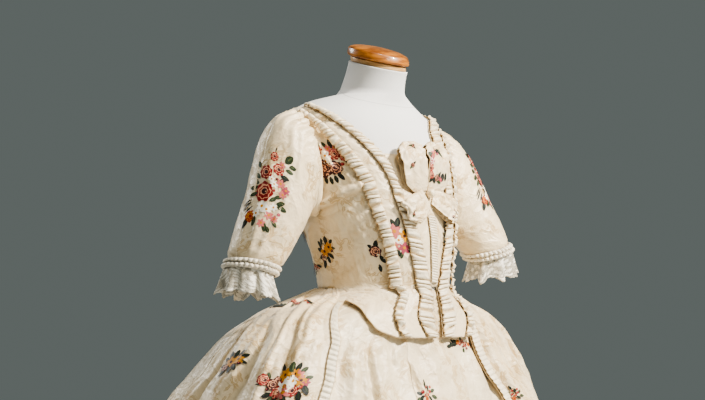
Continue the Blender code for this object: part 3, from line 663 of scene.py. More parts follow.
def makeLinen():  # with the seam where the neck's cover is sewn on
    material, board, shader = newMaterial("white_linen", 0.85)
    where = board.here()
    cloth = board.group(weave, Cut=where, Pitch=0.0011)
    y, z = board.split(where)[1:3]
    fromSeam = board.math("ABSOLUTE", board.minus(z, board.plus(board.times(y, 0.32), 1.3685)))
    seam = board.minus(1.0, board.ramp(0.0002, 0.0011, fromSeam))
    worn = board.ramp(0.35, 0.7, board.noise(where, 5.0, 2.0))
    ground = board.blend(worn, (0.71, 0.69, 0.655, 1), (0.66, 0.635, 0.60, 1))
    board.put(shader.inputs["Base Color"], board.blend(board.times(seam, 0.45), ground, (0.40, 0.38, 0.35, 1)))
    board.bump(shader, 0.00003, cloth["Height"])
    return material


def makeWood(name, light, dark, roughness, coat):
    material, board, shader = newMaterial(name, roughness)
    shader.inputs["Coat Weight"].default_value = coat
    shader.inputs["Coat Roughness"].default_value = 0.06
    where = board.here()
    grain = board.noise(board.vector("MULTIPLY", where, (26, 26, 170)), 1.0, 6.0)
    fine = board.noise(board.vector("MULTIPLY", where, (90, 90, 900)), 1.0, 3.0)
    both = board.plus(board.times(grain, 0.7), board.times(fine, 0.3))
    board.put(shader.inputs["Base Color"], board.blend(board.ramp(0.38, 0.62, both), (*dark, 1), (*light, 1)))
    board.bump(shader, 0.00008, both)
    return material


def makeIron():
    material, board, shader = newMaterial("black_painted_iron", 0.42)
    specks = board.noise(board.here(), 140.0, 3.0)
    black = board.blend(specks, (0.018, 0.018, 0.019, 1), (0.045, 0.043, 0.04, 1))
    board.put(shader.inputs["Base Color"], black)
    board.put(shader.inputs["Roughness"], board.plus(board.times(specks, 0.2), 0.3))
    board.bump(shader, 0.00010, specks)
    return material


def makeThreads():
    material, board, shader = newMaterial("brocading_threads", 0.55, 0.2)
    floats = board.noise(board.vector("MULTIPLY", board.here(), (420, 420, 2600)), 1.0, 2.0)
    gloss = board.times(board.ramp(0.5, 0.75, floats), 0.16)
    tint = board.attribute("thread", "Color")
    board.put(shader.inputs["Base Color"], board.blend(gloss, tint, (0.74, 0.66, 0.52, 1)))
    board.bump(shader, 0.0001, floats)
    return material


laceFinish, linenFinish = (makeLace(), "lace"), (makeLinen(), "form_cloth")
threadFinish = makeThreads(), "ivory_silk"
capFinish = makeWood("varnished_wood", (0.50, 0.20, 0.045), (0.25, 0.080, 0.016), 0.38, 0.35), "cap_wood"
ringFinish = makeWood("pale_wood", (0.66, 0.42, 0.20), (0.48, 0.27, 0.11), 0.45, 0.2), "ring_wood"
ironPaint = makeIron()
print("materials made")

# The dress form
neck = dict(  # lengths in metres, tilt in degrees
    low=1.3815, high=1.4350, lowMiddle=0.027, highMiddle=0.010, lowRadius=0.062, highRadius=0.0546, tilt=15,
)


def neckPoint(angle, share, radiusChange=0.0, rise=0.0):
    way = np.radians(angle)
    radius = mix(neck["lowRadius"], neck["highRadius"], np.sin(share * math.pi / 2)) + radiusChange
    middle = mix(neck["lowMiddle"], neck["highMiddle"], share)
    y = middle - radius * np.cos(way)
    slope = (y - middle) * math.tan(math.radians(neck["tilt"])) * share
    return np.stack((radius * np.sin(way), y, mix(neck["low"], neck["high"], share) + slope + rise), -1)


def formPoint(angle, row):  # rows 0 to 1 are the torso, 1 to 2 the neck
    body = torsoPoint(angle, mix(torso["height"][0], torso["height"][-1], np.clip(row, 0, 1)))
    column = neckPoint(angle, np.clip((row - 1), 0.0, 1) * 0.9 + 0.1)
    return np.where((row <= 1)[..., None], body, column)


def closeEnds(piece):
    maker = bmesh.new()
    maker.from_mesh(piece.data)
    bmesh.ops.holes_fill(maker, edges=maker.edges, sides=0)
    bmesh.ops.recalc_face_normals(maker, faces=maker.faces)
    maker.to_mesh(piece.data)
    maker.free()


def ringPiece(name, place, levels, finish, count=96):
    piece = layCloth(name, spread(count, -180, 180), np.array(levels), place, 0.0, finish, closed=True)
    closeEnds(piece)
    return piece


neckProfiles = {  # what each turned ring adds to the neck's radius and height, row by row
    "form_neck_ring": rows(
        "radius rise",
        (-0.0042, 0.0004), (-0.0030, 0.0012), (-0.0030, 0.0086), (-0.0042, 0.0094),
    ),
    "form_neck_cap": rows(
        "radius rise",
        (-0.0040, 0.0098), (-0.0006, 0.0104), (0.0022, 0.0122), (0.0030, 0.0150), (0.0027, 0.0190),
        (0.0012, 0.0250), (-0.0022, 0.0285), (-0.0080, 0.0312), (-0.0160, 0.0334), (-0.0260, 0.0350),
        (-0.0370, 0.0360), (-0.0460, 0.0365), (-0.0540, 0.0366),
    ),
}


def buildForm():
    levels = list(spread(70, 0, 0.93)) + list(spread(16, 0.935, 1.0)) + list(spread(16, 1.0, 2.0)[1:])
    ringPiece("form_torso", formPoint, levels, linenFinish, 120)
    for name, finish in (("form_neck_ring", ringFinish), ("form_neck_cap", capFinish)):
        profile = neckProfiles[name]
        last = len(profile["radius"]) - 1

        def place(angle, row):
            return neckPoint(angle, 1.0, atStation(profile, "radius", row), atStation(profile, "rise", row))

        ringPiece(name, place, spread(4 * last, 0, last), finish)
    for node in ("stand_base", "stand_pole"):
        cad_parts[node].material_slots[0].material = ironPaint
    print("form built")


# Flowers: threads brocaded over the silk, as thin shapes that follow it
threads = dict(
    red=(0.30, 0.008, 0.008), wine=(0.060, 0.004, 0.006), blush=(0.80, 0.40, 0.24), pink=(0.42, 0.07, 0.10),
    white=(0.90, 0.84, 0.72), gold=(0.60, 0.26, 0.015), orange=(0.42, 0.045, 0.010), leaf=(0.022, 0.042, 0.010),
    dark=(0.003, 0.006, 0.004), sage=(0.10, 0.12, 0.04), rose=(0.60, 0.17, 0.15),
)


def readMotif(table):
    shapes = []
    for shape in table.split(","):
        kind, x, y, size, extra = shape.split()
        shapes.append((kind, float(x), float(y), float(size), extra if extra in threads else float(extra)))
    return shapes


# Each shape: kind, x, y and size in millimetres, then a flower's colour or a leaf's turn in degrees
motifs = dict(
    roseSpray="""
        rose -7 28 9 red, rose 13 38 7.5 red, rose -6 -3 13 red, rose 3 55 5.5 red, daisy 19 17 6 rose,
        daisy 29 10 5.5 pink, daisy 25 1 5 rose, daisy -3 -26 7 white, rose -20 -43 7.5 orange,
        daisy 12 -38 5.5 rose, daisy 3 -52 5 rose, berry 10 2 2.4 red, berry 12 22 2 wine, berry 27 -33 3 pink,
        leaf 27 62 13 60, leaf 35 55 9 30, leaf 31 45 9 15, dark 25 30 10 10, leaf -25 13 10 150,
        leaf -27 3 10 190, stroke -34 -21 16 205, stroke -33 -27 18 215, stroke -27 -33 15 222,
        dark -27 -53 12 250, leaf 25 -15 10 30, leaf 30 -22 11 -5, leaf 12 -12 9 40, leaf 9 -57 10 -70,
        leaf 15 -60 8 -50, leaf -11 -51 9 -100, leaf -22 40 8 120, stroke 4 66 8 80, daisy 6 -30 6 white,
        daisy 16 -24 5 white, daisy -10 -38 5 white, daisy 22 -42 4.5 rose, daisy 9 12 4.5 white,
        daisy 4 19 4 white, daisy 18 48 4 rose, leaf -22 22 9 140, leaf -24 -8 9 200, dark -14 -44 9 250,
        leaf 19 -6 8 20, dark 22 24 8 30, leaf 24 -50 8 -40
    """,
    roseCluster="""
        rose -5 -4 12 wine, rose 14 -6 9 wine, rose -1 24 6 red, rose 19 14 7 red, rose 31 8 5 red,
        daisy 6 14 6 white, daisy -12 13 5 white, rose -20 9 5 red, daisy 24 24 5 rose, berry -16 -8 3 red,
        dark -16 24 15 95, dark -24 -6 9 200, dark -6 -22 8 265, dark 2 -24 8 270, dark 10 -23 8 275,
        dark 18 -20 9 300, leaf 30 22 8 40, dark 20 31 10 85, leaf 10 30 8 110, leaf 36 0 7 -20,
        dark -22 -20 12 235, daisy 4 6 4.5 white, daisy 13 24 4.5 rose, berry 26 -2 3 red, rose -22 20 4.5 red,
        dark -28 12 10 100, leaf 38 14 8 20, berry -9 5 3 red, dark 27 28 8 60, leaf 3 33 7 90
    """,
    goldSprig="""
        daisy -2 -1 8 gold, daisy 12 4 7 gold, rose -12 -12 6.5 wine, berry 4 -8 3 wine, berry 16 -4 3 wine,
        dark -14 4 11 150, dark -8 12 12 110, dark 2 15 11 85, dark 12 17 11 60, dark 21 12 8 30,
        dark -18 -8 9 190, dark -14 -22 12 240, dark 1 -16 11 280, dark 10 -12 10 300, dark 21 0 7 -20
    """,
    pinkPair="""
        daisy -4 13 10 rose, daisy 13 4 8 gold, daisy 1 -3 7 white, daisy 10 -17 9 pink, daisy -7 -12 6 rose,
        dark -3 27 12 110, dark 5 29 13 70, leaf -12 20 9 150, leaf -10 -24 10 200, stroke 20 -24 16 -45,
        stroke 24 -20 14 -40, leaf 4 -30 10 250, leaf 18 14 8 40, dark -1 -27 8 270
    """,
    bud="""
        rose 0 0 7.5 wine, dark 2 11 9 70, dark 9 -12 9 -60, dark 4 -26 8 -80, dark -6 7 7 140
    """,
    garland="""
        rose -8 3 4.5 orange, rose 4 6 4.0 red, rose 14 1 4.5 red, rose 26 3 4 orange, berry 8 -4 2.6 wine,
        berry 18 -7 3.0 wine, berry -1 -1 2.6 red, berry 33 -2 2.2 red, dark -20 -3 13 190, dark -30 -7 13 200,
        dark -40 -12 11 205, leaf -16 3 9 160, leaf 0 11 7 100, leaf 20 8 7 60, dark 36 4 9 -30,
        stroke -34 -2 10 180, leaf 10 -12 7 -80, dark -26 2 8 150
    """,
    bouquet="""
        daisy 3 -4 11 white, daisy 14 4 9 white, rose -9 -12 9 red, rose 16 -12 8 red, daisy 4 -14 8 rose,
        rose -20 2 7.5 wine, rose -34 8 7 red, rose -13 8 6 wine, daisy 1 15 7.5 gold, daisy 16 15 6 gold,
        daisy 26 4 7 gold, daisy 34 0 5 pink, daisy 22 12 6 rose, berry -4 5 3 red, berry -26 -6 3 wine,
        berry 28 -7 3 orange, dark -4 26 11 100, leaf 10 25 11 80, dark 20 24 11 60, leaf 29 20 9 30,
        dark -25 -15 11 200, leaf -18 -22 11 230, dark -10 -26 10 260, dark 36 -12 12 -60, dark 28 -22 12 -80,
        leaf -28 15 8 120, leaf 38 8 8 10, stroke -38 0 9 190, dark 6 -26 10 280
    """,
    berries="""
        berry -6 -3 3.4 orange, berry 2 3 3.4 red, berry 9 -1 3.2 orange, berry 16 4 3.4 red, berry 6 12 3 red,
        berry 20 12 3 orange, berry -14 2 3 red, rose 2 -8 4.5 orange, dark -16 -8 11 210, dark -22 0 9 170,
        leaf -6 10 9 120, dark 6 20 8 90, leaf 24 5 8 20, dark 12 10 8 70, leaf -26 -10 9 200, dark 14 -8 8 -50,
        leaf 26 -6 9 -20
    """,
    crescent="""
        rose -16 -2 7 red, rose -14 10 6 pink, rose -13 -14 5 red, daisy -6 20 5 rose, dark -19 12 9 130,
        leaf -14 20 9 100, leaf -2 26 8 60, dark 6 24 9 10, leaf 12 20 8 -30, berry 5 20 2.6 pink,
        dark -14 -22 9 230, dark -6 -21 10 300, rose 2 -17 5 wine, dark 8 -12 9 60, leaf 8 -23 9 -20,
        dark 18 -14 10 80, daisy 12 -18 4 pink, dark 26 -12 9 90, leaf -22 -8 7 190
    """,
    budlet="""
        rose 0 0 3.2 wine, dark -3 3 5 130, leaf 3 -3 5 -50
    """,
)
motifs = {name: readMotif(table) for name, table in motifs.items()}
layerStep = 0.00009  # each colour of thread lies this much over the last
flowerCorners = dict(lobed=21, pointed=10, round=10)


# The shapes that one flower or leaf is made of: outline kind, centre, length, width, turn, colour, layer
def petalRing(kind, x, y, size, extra):
    if kind == "rose":
        pale = {"red": "blush", "wine": "blush", "orange": "gold", "pink": "white"}[extra]
        heart = "wine" if extra in ("red", "wine") else "red"
        size *= 1.36
        return [
            ("lobed", x, y, size, size * 0.95, 10 + 20 * x, extra, 1),
            ("lobed", x + size * 0.02, y, size * 0.78, size * 0.73, 30 + 20 * x, pale, 2),
            ("lobed", x + size * 0.05, y - size * 0.04, size * 0.64, size * 0.58, 60, extra, 3),
            ("lobed", x + size * 0.02, y + size * 0.02, size * 0.44, size * 0.38, 20, pale, 4),
            ("round", x + size * 0.05, y + size * 0.02, size * 0.30, size * 0.26, 0, heart, 5),
        ]
    if kind == "daisy":
        shapes = []
        size *= 1.34
        for k in range(6):
            way = math.radians(60 * k + 7 * x)
            shapes.append(("pointed", x + math.cos(way) * size * 0.55, y + math.sin(way) * size * 0.55,
                           size * 0.52, size * 0.30, math.degrees(way), extra, 2 + k % 2))
        shapes.append(("round", x, y, size * 0.25, size * 0.25, 0, "wine" if extra == "gold" else "gold", 5))
        return shapes
    if kind == "berry":
        return [
            ("round", x, y, size, size * 0.9, 0, extra, 2),
            ("round", x - size * 0.25, y + size * 0.2, size * 0.35, size * 0.3, 0, "rose", 3),
        ]
    if kind == "stroke":
        return [("pointed", x, y, size * 0.6, size * 0.10, extra, "dark", 1)]
    tint, light = ("dark", "leaf") if kind == "dark" else ("leaf", "sage")
    size *= 1.35
    return [
        ("pointed", x, y, size * 0.58, size * 0.29, extra, tint, 1),
        ("pointed", x + 0.03 * size, y + 0.06 * size, size * 0.36, size * 0.07, extra, light, 2),
    ]


def turned(x, y, way):
    return x * math.cos(way) - y * math.sin(way), x * math.sin(way) + y * math.cos(way)


def outline(kind, way):
    if kind == "lobed":
        reach = 0.90 + 0.10 * math.cos(7 * way)
        return reach * math.cos(way), reach * math.sin(way)
    if kind == "round":
        return math.cos(way), math.sin(way)
    return math.cos(way), math.sin(way) * (0.35 + 0.65 * abs(math.sin(way)))


# Sprigs of (u, v, turn, scale, motif) on surface(u, v, lift), in one piece; flips turn u to the right and v up
def stitchFlowers(name, surface, sprigs, lift, steps=(0.4, 0.0012), flips=(1, 1)):
    maker = bmesh.new()
    threadLayer = maker.verts.layers.float_color.new("thread")
    for u, v, turn, scale, motif in sprigs:
        here = np.array([[u, u + steps[0], u], [v, v, v + steps[1]]], float)
        a, b, c = surface(here[0], here[1], np.zeros(3))
        perU, perV = np.linalg.norm(b - a) / steps[0], np.linalg.norm(c - a) / steps[1]
        for part in motifs[motif]:
            for kind, x, y, long, wide, lean, tint, layer in petalRing(*part):
                before = len(maker.verts)
                made = bmesh.ops.create_circle(
                    maker, cap_ends=True, cap_tris=True, segments=flowerCorners[kind], radius=1.0)["verts"]
                if kind == "lobed":  # rings between, so that a wide flower bends with the cloth
                    spokes = {edge for vertex in made if vertex.co.length < 0.5 for edge in vertex.link_edges}
                    bmesh.ops.subdivide_edges(maker, edges=list(spokes), cuts=2)
                maker.verts.ensure_lookup_table()
                made = maker.verts[before:]
                for vertex in made:
                    reach = math.hypot(vertex.co.x, vertex.co.y)
                    px, py = outline(kind, math.atan2(vertex.co.y, vertex.co.x))
                    px, py = turned(px * long * reach, py * wide * reach, math.radians(lean))
                    px, py = turned(x + px, y + py, math.radians(turn))
                    size = scale * 0.001
                    across, up = flips[0] * px * size / perU, flips[1] * py * size / perV
                    vertex.co = (u + across, v + up, layer * layerStep)
                    vertex[threadLayer] = (*threads[tint], 1)
    places = np.array([vertex.co for vertex in maker.verts])
    points = surface(places[:, 0], places[:, 1], lift + places[:, 2])
    for vertex, point in zip(maker.verts, points):
        vertex.co = point
    bmesh.ops.recalc_face_normals(maker, faces=maker.faces)
    return finishMesh(name, maker, threadFinish, None)


# The bodice
bodice = dict(  # lengths in metres
    wall=0.0013, columns=dict(right=110, left=70), rows=(26, 22, 76), seamGap=0.08, hemWave=0.0008,
    cornerBlur=0.30, hemTint=0.55, shadeTint=0.4, flowerLift=0.0016,
    backGrid=(64, 60), pleats=4, pleatsStart=0.55, pleatsShare=0.45, pleatRise=0.0020, backFlowerLift=0.0040,
)
robing = dict(wall=0.0013, grid=(14, 30, 150), arch=0.0005, unevenness=0.0003, flowerLift=0.0020)
bodiceFlowers = {  # angle, height, turn, scale, motif
    "right": [
        (-77, 1.240, 8, 1.18, "roseCluster"), (-52.5, 1.087, 0, 1.2, "bud"),
        (-98.5, 1.090, 12, 1.02, "goldSprig"),
    ],
    "left": [
        (72, 1.262, -6, 0.85, "roseCluster"), (92, 1.120, -12, 0.85, "pinkPair"),
        (56, 1.075, 0, 0.8, "goldSprig"),
    ],
}
backFlowers = [  # on both sides
    (128, 1.265, 0, 0.85, "roseSpray"), (134, 1.130, 30, 0.8, "goldSprig"), (124, 1.060, 0, 0.75, "garland"),
]
robingFlowers = {
    "right": [(-33.5, 1.110, 0, 1.0, "pinkPair")],
    "left": [(18.5, 1.110, 75, 0.72, "goldSprig"), (21, 1.140, 0, 0.5, "berries")],
}


def buildBodice():
    for side, sign in sides.items():
        def leftwards(count):  # shares in the order that turns a grid's face outwards
            return spread(count)[::sign]

        top = len(fronts[side]["neck"]) - 1.0

        def bent(share, station):
            near, far = lineAngle(side, station, "neck"), lineAngle(side, station, "side")
            wave = bodice["hemWave"] * np.sin(share * 9) * smooth(0.4, 1, -station)
            angle = mix(near, far - bodice["seamGap"] * (station >= 0), share)
            return onFront(side, station, angle, wave, relief=True)

        def place(share, station):  # the corner at the waist is rounded beside the robing
            near, far, robe = (lineAngle(side, station, line) for line in ("neck", "side", "frill"))
            blur = bodice["cornerBlur"] * smooth(0.60, 0.0, np.abs(station))
            blur = blur * smooth(0, 8, mix(near, far, share) - robe) * smooth(1.0, 0.93, share)
            above, below = bent(share, station + blur), bent(share, station - blur)
            return 0.25 * below + 0.5 * bent(share, station) + 0.25 * above

        # painted shade along the creases, and the tint of the flap's lower edge
        def tint(share, station):
            near, far, low, high = (frontLine(side, np.maximum(station, 0), line)
                                    for line in ("neck", "side", "neckHeight", "sideHeight"))
            creaseShade = creased(sign * mix(near, far, share) * metresPerDegree, mix(low, high, share), bodiceShadows)
            creaseShade = np.where(station < 0, 0, np.minimum(creaseShade, bodice["shadeTint"]))
            return np.maximum(bodice["hemTint"] * smooth(-0.975, -1.0, station), creaseShade)

        below, waistRows, above = bodice["rows"]
        stations = np.concatenate(
            (spread(below, -1.0, -0.03), spread(waistRows, 0, 3), spread(above, 3, top)[1:]))
        name, wall = f"bodice_front_{side}", bodice["wall"]
        front = layCloth(name, leftwards(bodice["columns"][side]), stations, place, wall, silkFinish, tint=tint,
                         replaced=[name, f"flap_{side}"])
        sprigs = stitchFlowers(name + "_flowers", onBodice, bodiceFlowers[side], bodice["flowerLift"])

        def placeBack(share, station):
            angle = mix(atStation(backs, "side", station) + bodice["seamGap"], 179.85, share)
            low, high = (atStation(backs, column, station) for column in ("sideHeight", "centreHeight"))
            height = mix(low, high, share)
            pleat = (share - bodice["pleatsStart"]) / bodice["pleatsShare"] * bodice["pleats"]
            rise = bodice["pleatRise"] * (pleat % 1.0) ** 2.0 * smooth(0, 0.05, 1 - pleat % 1.0)
            return onBodice(sign * angle, height, np.where(share > bodice["pleatsStart"], rise, 0))

        columns, levels = bodice["backGrid"]
        stations = spread(levels, 0, len(backs["side"]) - 1)
        name = f"bodice_back_{side}"
        back = layCloth(name, leftwards(columns), stations, placeBack, wall, silkFinish)
        placed = [(sign * spot[0], *spot[1:]) for spot in backFlowers]
        sprigs = stitchFlowers(name + "_flowers", onBodice, placed, bodice["backFlowerLift"])

        def placeRobing(share, station):
            low, high = lineAngle(side, station, "inner"), lineAngle(side, station, "outer")
            arch = robing["arch"] * np.sin(share * math.pi)
            arch = arch + robing["unevenness"] * ripple(share * 0.04, station * 0.03, 0.03, 7)
            lift = silk + lap + np.where(station < 0, 0.0003, 0) + arch
            return onFront(side, station, mix(low, high, share), lift)

        def onRobing(angle, height, lift):
            return plainBodice(angle, height, lift + silk + lap)

        columns, below, above = robing["grid"]
        stations = np.concatenate((spread(below, -1.0, -0.02), spread(above, 0, top)))
        name = f"robing_{side}"
        band = layCloth(name, leftwards(columns), stations, placeRobing, robing["wall"], silkFinish)
        sprigs = stitchFlowers(name + "_flowers", onRobing, robingFlowers[side], robing["flowerLift"])
    print("bodice built")


# Ruffles along the robings
ruffle = dict(  # lengths in metres
    pleats=48, stand=0.0074, lean=0.40, low=-0.98, base=0.0042, innerDrop=0.0014, wall=0.0007, steps=12,
    columns=9, samples=1000, gapShade=0.42, mostTint=0.9,
)


def pleatFold(phase):  # a flat puff between two narrow gaps
    return smooth(0.0, 0.30, phase) * (1 - smooth(0.80, 0.96, phase))


def evenStations(side, line, count):  # even distances along a line, from the flap's edge to the shoulder
    tried = spread(400, ruffle["low"], len(fronts[side]["neck"]) - 1.0)
    points = onFront(side, tried, lineAngle(side, tried, line), 0.0)
    run = np.concatenate(([0.0], np.cumsum(np.linalg.norm(np.diff(points, axis=0), axis=-1))))
    return np.interp(spread(count, 0, run[-1]), run, tried)


def buildRuffle(name, side, sewn, free):
    stations = evenStations(side, sewn, ruffle["samples"])

    def phaseAt(share, pleat):
        lean = ruffle["lean"] * share * (1 + 0.6 * np.sin(pleat * 0.9))
        return (pleat + lean + 0.30 * np.sin(pleat * 1.9)) % 1.0

    def place(share, pleat):
        station = np.interp(pleat, spread(ruffle["samples"], 0, ruffle["pleats"]), stations)
        first, last = lineAngle(side, station, sewn), lineAngle(side, station, free)
        phase = phaseAt(share, pleat)
        varied = 1 + 0.25 * np.sin(pleat * 2.7 + 1) + 0.15 * np.sin(pleat * 5.3)
        puff = 0.45 + 0.55 * np.sin(np.clip(share, 0, 1) * math.pi) ** 0.6
        near = share if free == "neck" else 0.0  # the inner ruffle's free edge lies nearer the stomacher
        stand = ruffle["stand"] * varied * pleatFold(phase) * puff * (1 - 0.35 * near)
        lift = ruffle["base"] - ruffle["innerDrop"] * near + stand
        out = mix(-0.12, 1.0, share) + 0.06 * np.sin(2 * math.pi * phase) * share
        return onFront(side, station, mix(first, last, out), lift)

    towardsLeft = (free == "frill") == (side == "left")
    shares = spread(ruffle["columns"])[::1 if towardsLeft else -1]
    pleats = spread(ruffle["pleats"] * ruffle["steps"], 0, ruffle["pleats"])

    # the rims' ochre, and painted shade in the gaps between the pleats
    def tint(share, pleat):
        rim = np.maximum(smooth(0.86, 0.98, share), 0.8 * smooth(0.12, 0.0, share))
        gap = ruffle["gapShade"] * (1 - pleatFold(phaseAt(share, pleat)))
        return np.clip(rim * (0.55 + 0.25 * np.sin(pleat * 1.3)) + gap, 0, ruffle["mostTint"])

    piece = layCloth(name, shares, pleats, place, ruffle["wall"], ruffleFinish, tint=tint)


# Stomacher with its ruching, and the bows
stomacher = dict(wall=0.0013, grid=(44, 52), low=1.024, high=1.262, inset=0.3, wave=0.0004)
ruching = dict(
    wall=0.0007, pleats=26, columns=12, steps=8, low=1.032, high=1.152, halfAngle=4.0, lean=0.25, stand=0.0042,
)
bow = dict(wall=0.0008, grid=(26, 72), knotHeight=1.192, rimTint=0.45, flowerLift=0.0008)
bowLoops = dict(  # each loop's end, across and up from the knot, and its breadth and depth
    bow_upper_right=(-0.064, 0.078, 0.062, 0.016), bow_upper_left=(0.024, 0.084, 0.076, 0.018),
    bow_lower_right=(-0.066, -0.042, 0.044, 0.012), bow_lower_left=(0.060, -0.036, 0.044, 0.012),
)
bowFlowers = dict(
    bow_upper_left=[(0.34, 0.755, 180, 1.25, "crescent")],
    bow_upper_right=[(-0.10, 0.62, 20, 1.2, "budlet"), (0.30, 0.74, 80, 1.2, "budlet")],
    bow_lower_right=[(0.2, 0.64, 0, 0.9, "budlet")],
    bow_lower_left=[(0.1, 0.62, 60, 1.1, "budlet"), (-0.5, 0.60, 0, 0.8, "budlet")],
)
knotProfile = rows("radius lift", (0.0072, 0.0022), (0.0078, 0.0080), (0.0064, 0.0135), (0.0026, 0.0160))


def angleAcross(distance, height):
    return np.degrees(np.arcsin(np.clip(distance / lookUp(torso, "height", "width", height), -1, 1)))


def buildStomacher():
    def edge(side, height):
        return lookUp(fronts[side], "neckHeight", "neck", height)

    def place(share, height):
        right, left = (edge(side, height) - stomacher["inset"] for side in ("right", "left"))
        angle = mix(-right, left, share)
        return plainBodice(angle, height, stomacher["wave"] * np.sin(share * 40) * smooth(1.10, 1.02, height))

    columns, levels = stomacher["grid"]
    piece = layCloth("stomacher", spread(columns), spread(levels, stomacher["low"], stomacher["high"]), place,
                     stomacher["wall"], silkFinish)

    def ruched(share, pleat):
        height = mix(ruching["low"], ruching["high"], pleat / ruching["pleats"])
        phase = (pleat + ruching["lean"] * share) % 1.0
        puff = np.sin(math.pi * phase) ** 0.6 * (1 - 0.75 * share ** 2)
        angle = ruching["halfAngle"] * share * (1 + 0.08 * np.sin(6.28 * pleat))
        return plainBodice(angle, height, silk + lap + ruching["stand"] * puff)

    pleats = spread(ruching["pleats"] * ruching["steps"], 0, ruching["pleats"])
    piece = layCloth("stomacher_ruching", spread(ruching["columns"], -1, 1), pleats, ruched, ruching["wall"],
                     ruchingFinish, tint=lambda u, v: 0.6 * smooth(0.8, 1.0, np.abs(u)))


def bowSurface(name):
    across, up, breadth, depth = bowLoops[name]
    length = math.hypot(across, up)
    aheadX, aheadZ = across / length, up / length

    def surface(wide, turn, lift=0.0):
        around = 2 * math.pi * turn
        reach = (1 - np.cos(around)) / 2
        run = mix(0.0120, length, reach)
        half = mix(0.020 if up > 0 else 0.014, breadth / 2 * (1.02 if up > 0 else 1.15), reach ** 0.5)
        low = mix(0.0033 - depth / 2, 0.0110, reach)
        rounded = 1 - 0.10 * wide * wide * reach + 0.05 * np.sin(wide * 5) * reach
        pulled = 0.0022 * np.sin(wide * 11 + 2 * reach) * (1 - reach) ** 0.7
        crushed = pulled + 0.0034 * ripple(wide * 0.03, turn * 0.2, 0.020, 3)
        crushed = crushed + 0.0014 * ripple(wide * 0.03, turn * 0.2, 0.009, 5)
        dx = aheadX * run * rounded - aheadZ * wide * half
        dz = aheadZ * run * rounded + aheadX * wide * half
        if up > 0:  # the upper loops are squarer, and broad from the knot on
            outer = wide if across < 0 else -wide
            side = mix(0.004, 0.066, (outer + 1) / 2) * smooth(-0.35, 0.22, reach)
            boxed = mix(0.002, 0.088 - 0.012 * outer ** 2 * reach, reach)
            dx = mix(dx, math.copysign(1, across) * side if across < 0 else side - 0.004, 0.75)
            dz = mix(dz, boxed, 0.75)
        height = bow["knotHeight"] + dz
        opened = 0.45 + 0.55 * reach
        above = low + depth / 2 * (1 - opened * np.sin(around)) + crushed * (np.sin(math.pi * turn) ** 2)
        return plainBodice(angleAcross(dx, height), height, above + lift)

    return surface


def buildBows():
    columns, around = bow["grid"]
    for name in bowLoops:
        surface = bowSurface(name)

        def inFront(u, v, lift):  # threads lie on the loop's front half only
            return surface(np.clip(u, -0.94, 0.94), np.clip(v, 0.3, 0.95), lift + 0.0006)

        piece = layCloth(name, spread(columns, -1, 1), spread(around), surface, bow["wall"], silkFinish,
                         closed=True, tint=lambda u, v: bow["rimTint"] * smooth(0.93, 1.0, np.abs(u)))
        sprigs = stitchFlowers(name + "_flowers", inFront, bowFlowers[name], bow["flowerLift"], (0.05, 0.01))

    def knot(turn, row):
        way = np.radians(turn)
        radius = atStation(knotProfile, "radius", row) * (1 + 0.05 * np.sin(5 * way))
        height = bow["knotHeight"] + radius * np.sin(way)
        angle = angleAcross(radius * np.cos(way), height)
        return plainBodice(angle, height, atStation(knotProfile, "lift", row))

    piece = layCloth("bow_knot", spread(40, 0, 360), spread(18, 0, 3), knot, 0.0, silkFinish, closed=True)
    closeEnds(piece)
    print("bows built")


# Sleeves, cuff bands and lace
sleeve = dict(  # lengths in metres
    wall=0.0012, grid=dict(right=(132, 92), left=(100, 70)), gathers=23, gatherDepth=0.0034, creaseFactor=1.6,
    soft=((0.0010, 0.028, 0.05, 4), (0.0004, 0.028, 0.02, 9)), lineStretch=12.0, flowerLift=0.0016,
)
cuffBand = dict(
    wall=0.0007, grid=(340, 14), puffs=17, stand=0.0060, low=-0.003, high=0.0145, wave=0.0006, shadeTint=0.5,
)
laceFlounce = dict(
    wall=0.0005, grid=(220, 28), length=0.058, flare=0.0100, wave=0.0062, scallops=21, scallopDepth=0.0016,
)
sleeveFlowers = {  # turn, station, turn of the sprig, scale, motif
    "right": [(26, 4.15, 4, 1.12, "roseSpray"), (-110, 4.2, 0, 0.95, "bouquet")],
    "left": [(-40, 2.9, -25, 1.05, "roseSpray"), (110, 4.0, 0, 0.95, "bouquet")],
}


def ringOn(table, sign, turn, at, grow=0.0):
    values = {column: atStation(table, column, at) for column in table}
    halfX, halfZ = (values["outX"] - values["inX"]) / 2, (values["outHeight"] - values["inHeight"]) / 2
    half = np.hypot(halfX, halfZ)
    out = np.cos(turn) * (half + grow)
    x = (values["outX"] + values["inX"]) / 2 + out * halfX / half
    z = (values["outHeight"] + values["inHeight"]) / 2 + out * halfZ / half
    y = values["middle"] + np.sin(turn) * (values["halfDepth"] + grow)
    return np.stack((sign * x, y, z), -1)


def cuffWay(side):
    table = sleeves[side]
    middles = np.stack(((table["outX"] + table["inX"]) / 2, table["middle"],
                        (table["outHeight"] + table["inHeight"]) / 2), -1)
    way = (middles[-1] - middles[-2]) * (sides[side], 1, 1)
    return way / np.linalg.norm(way)


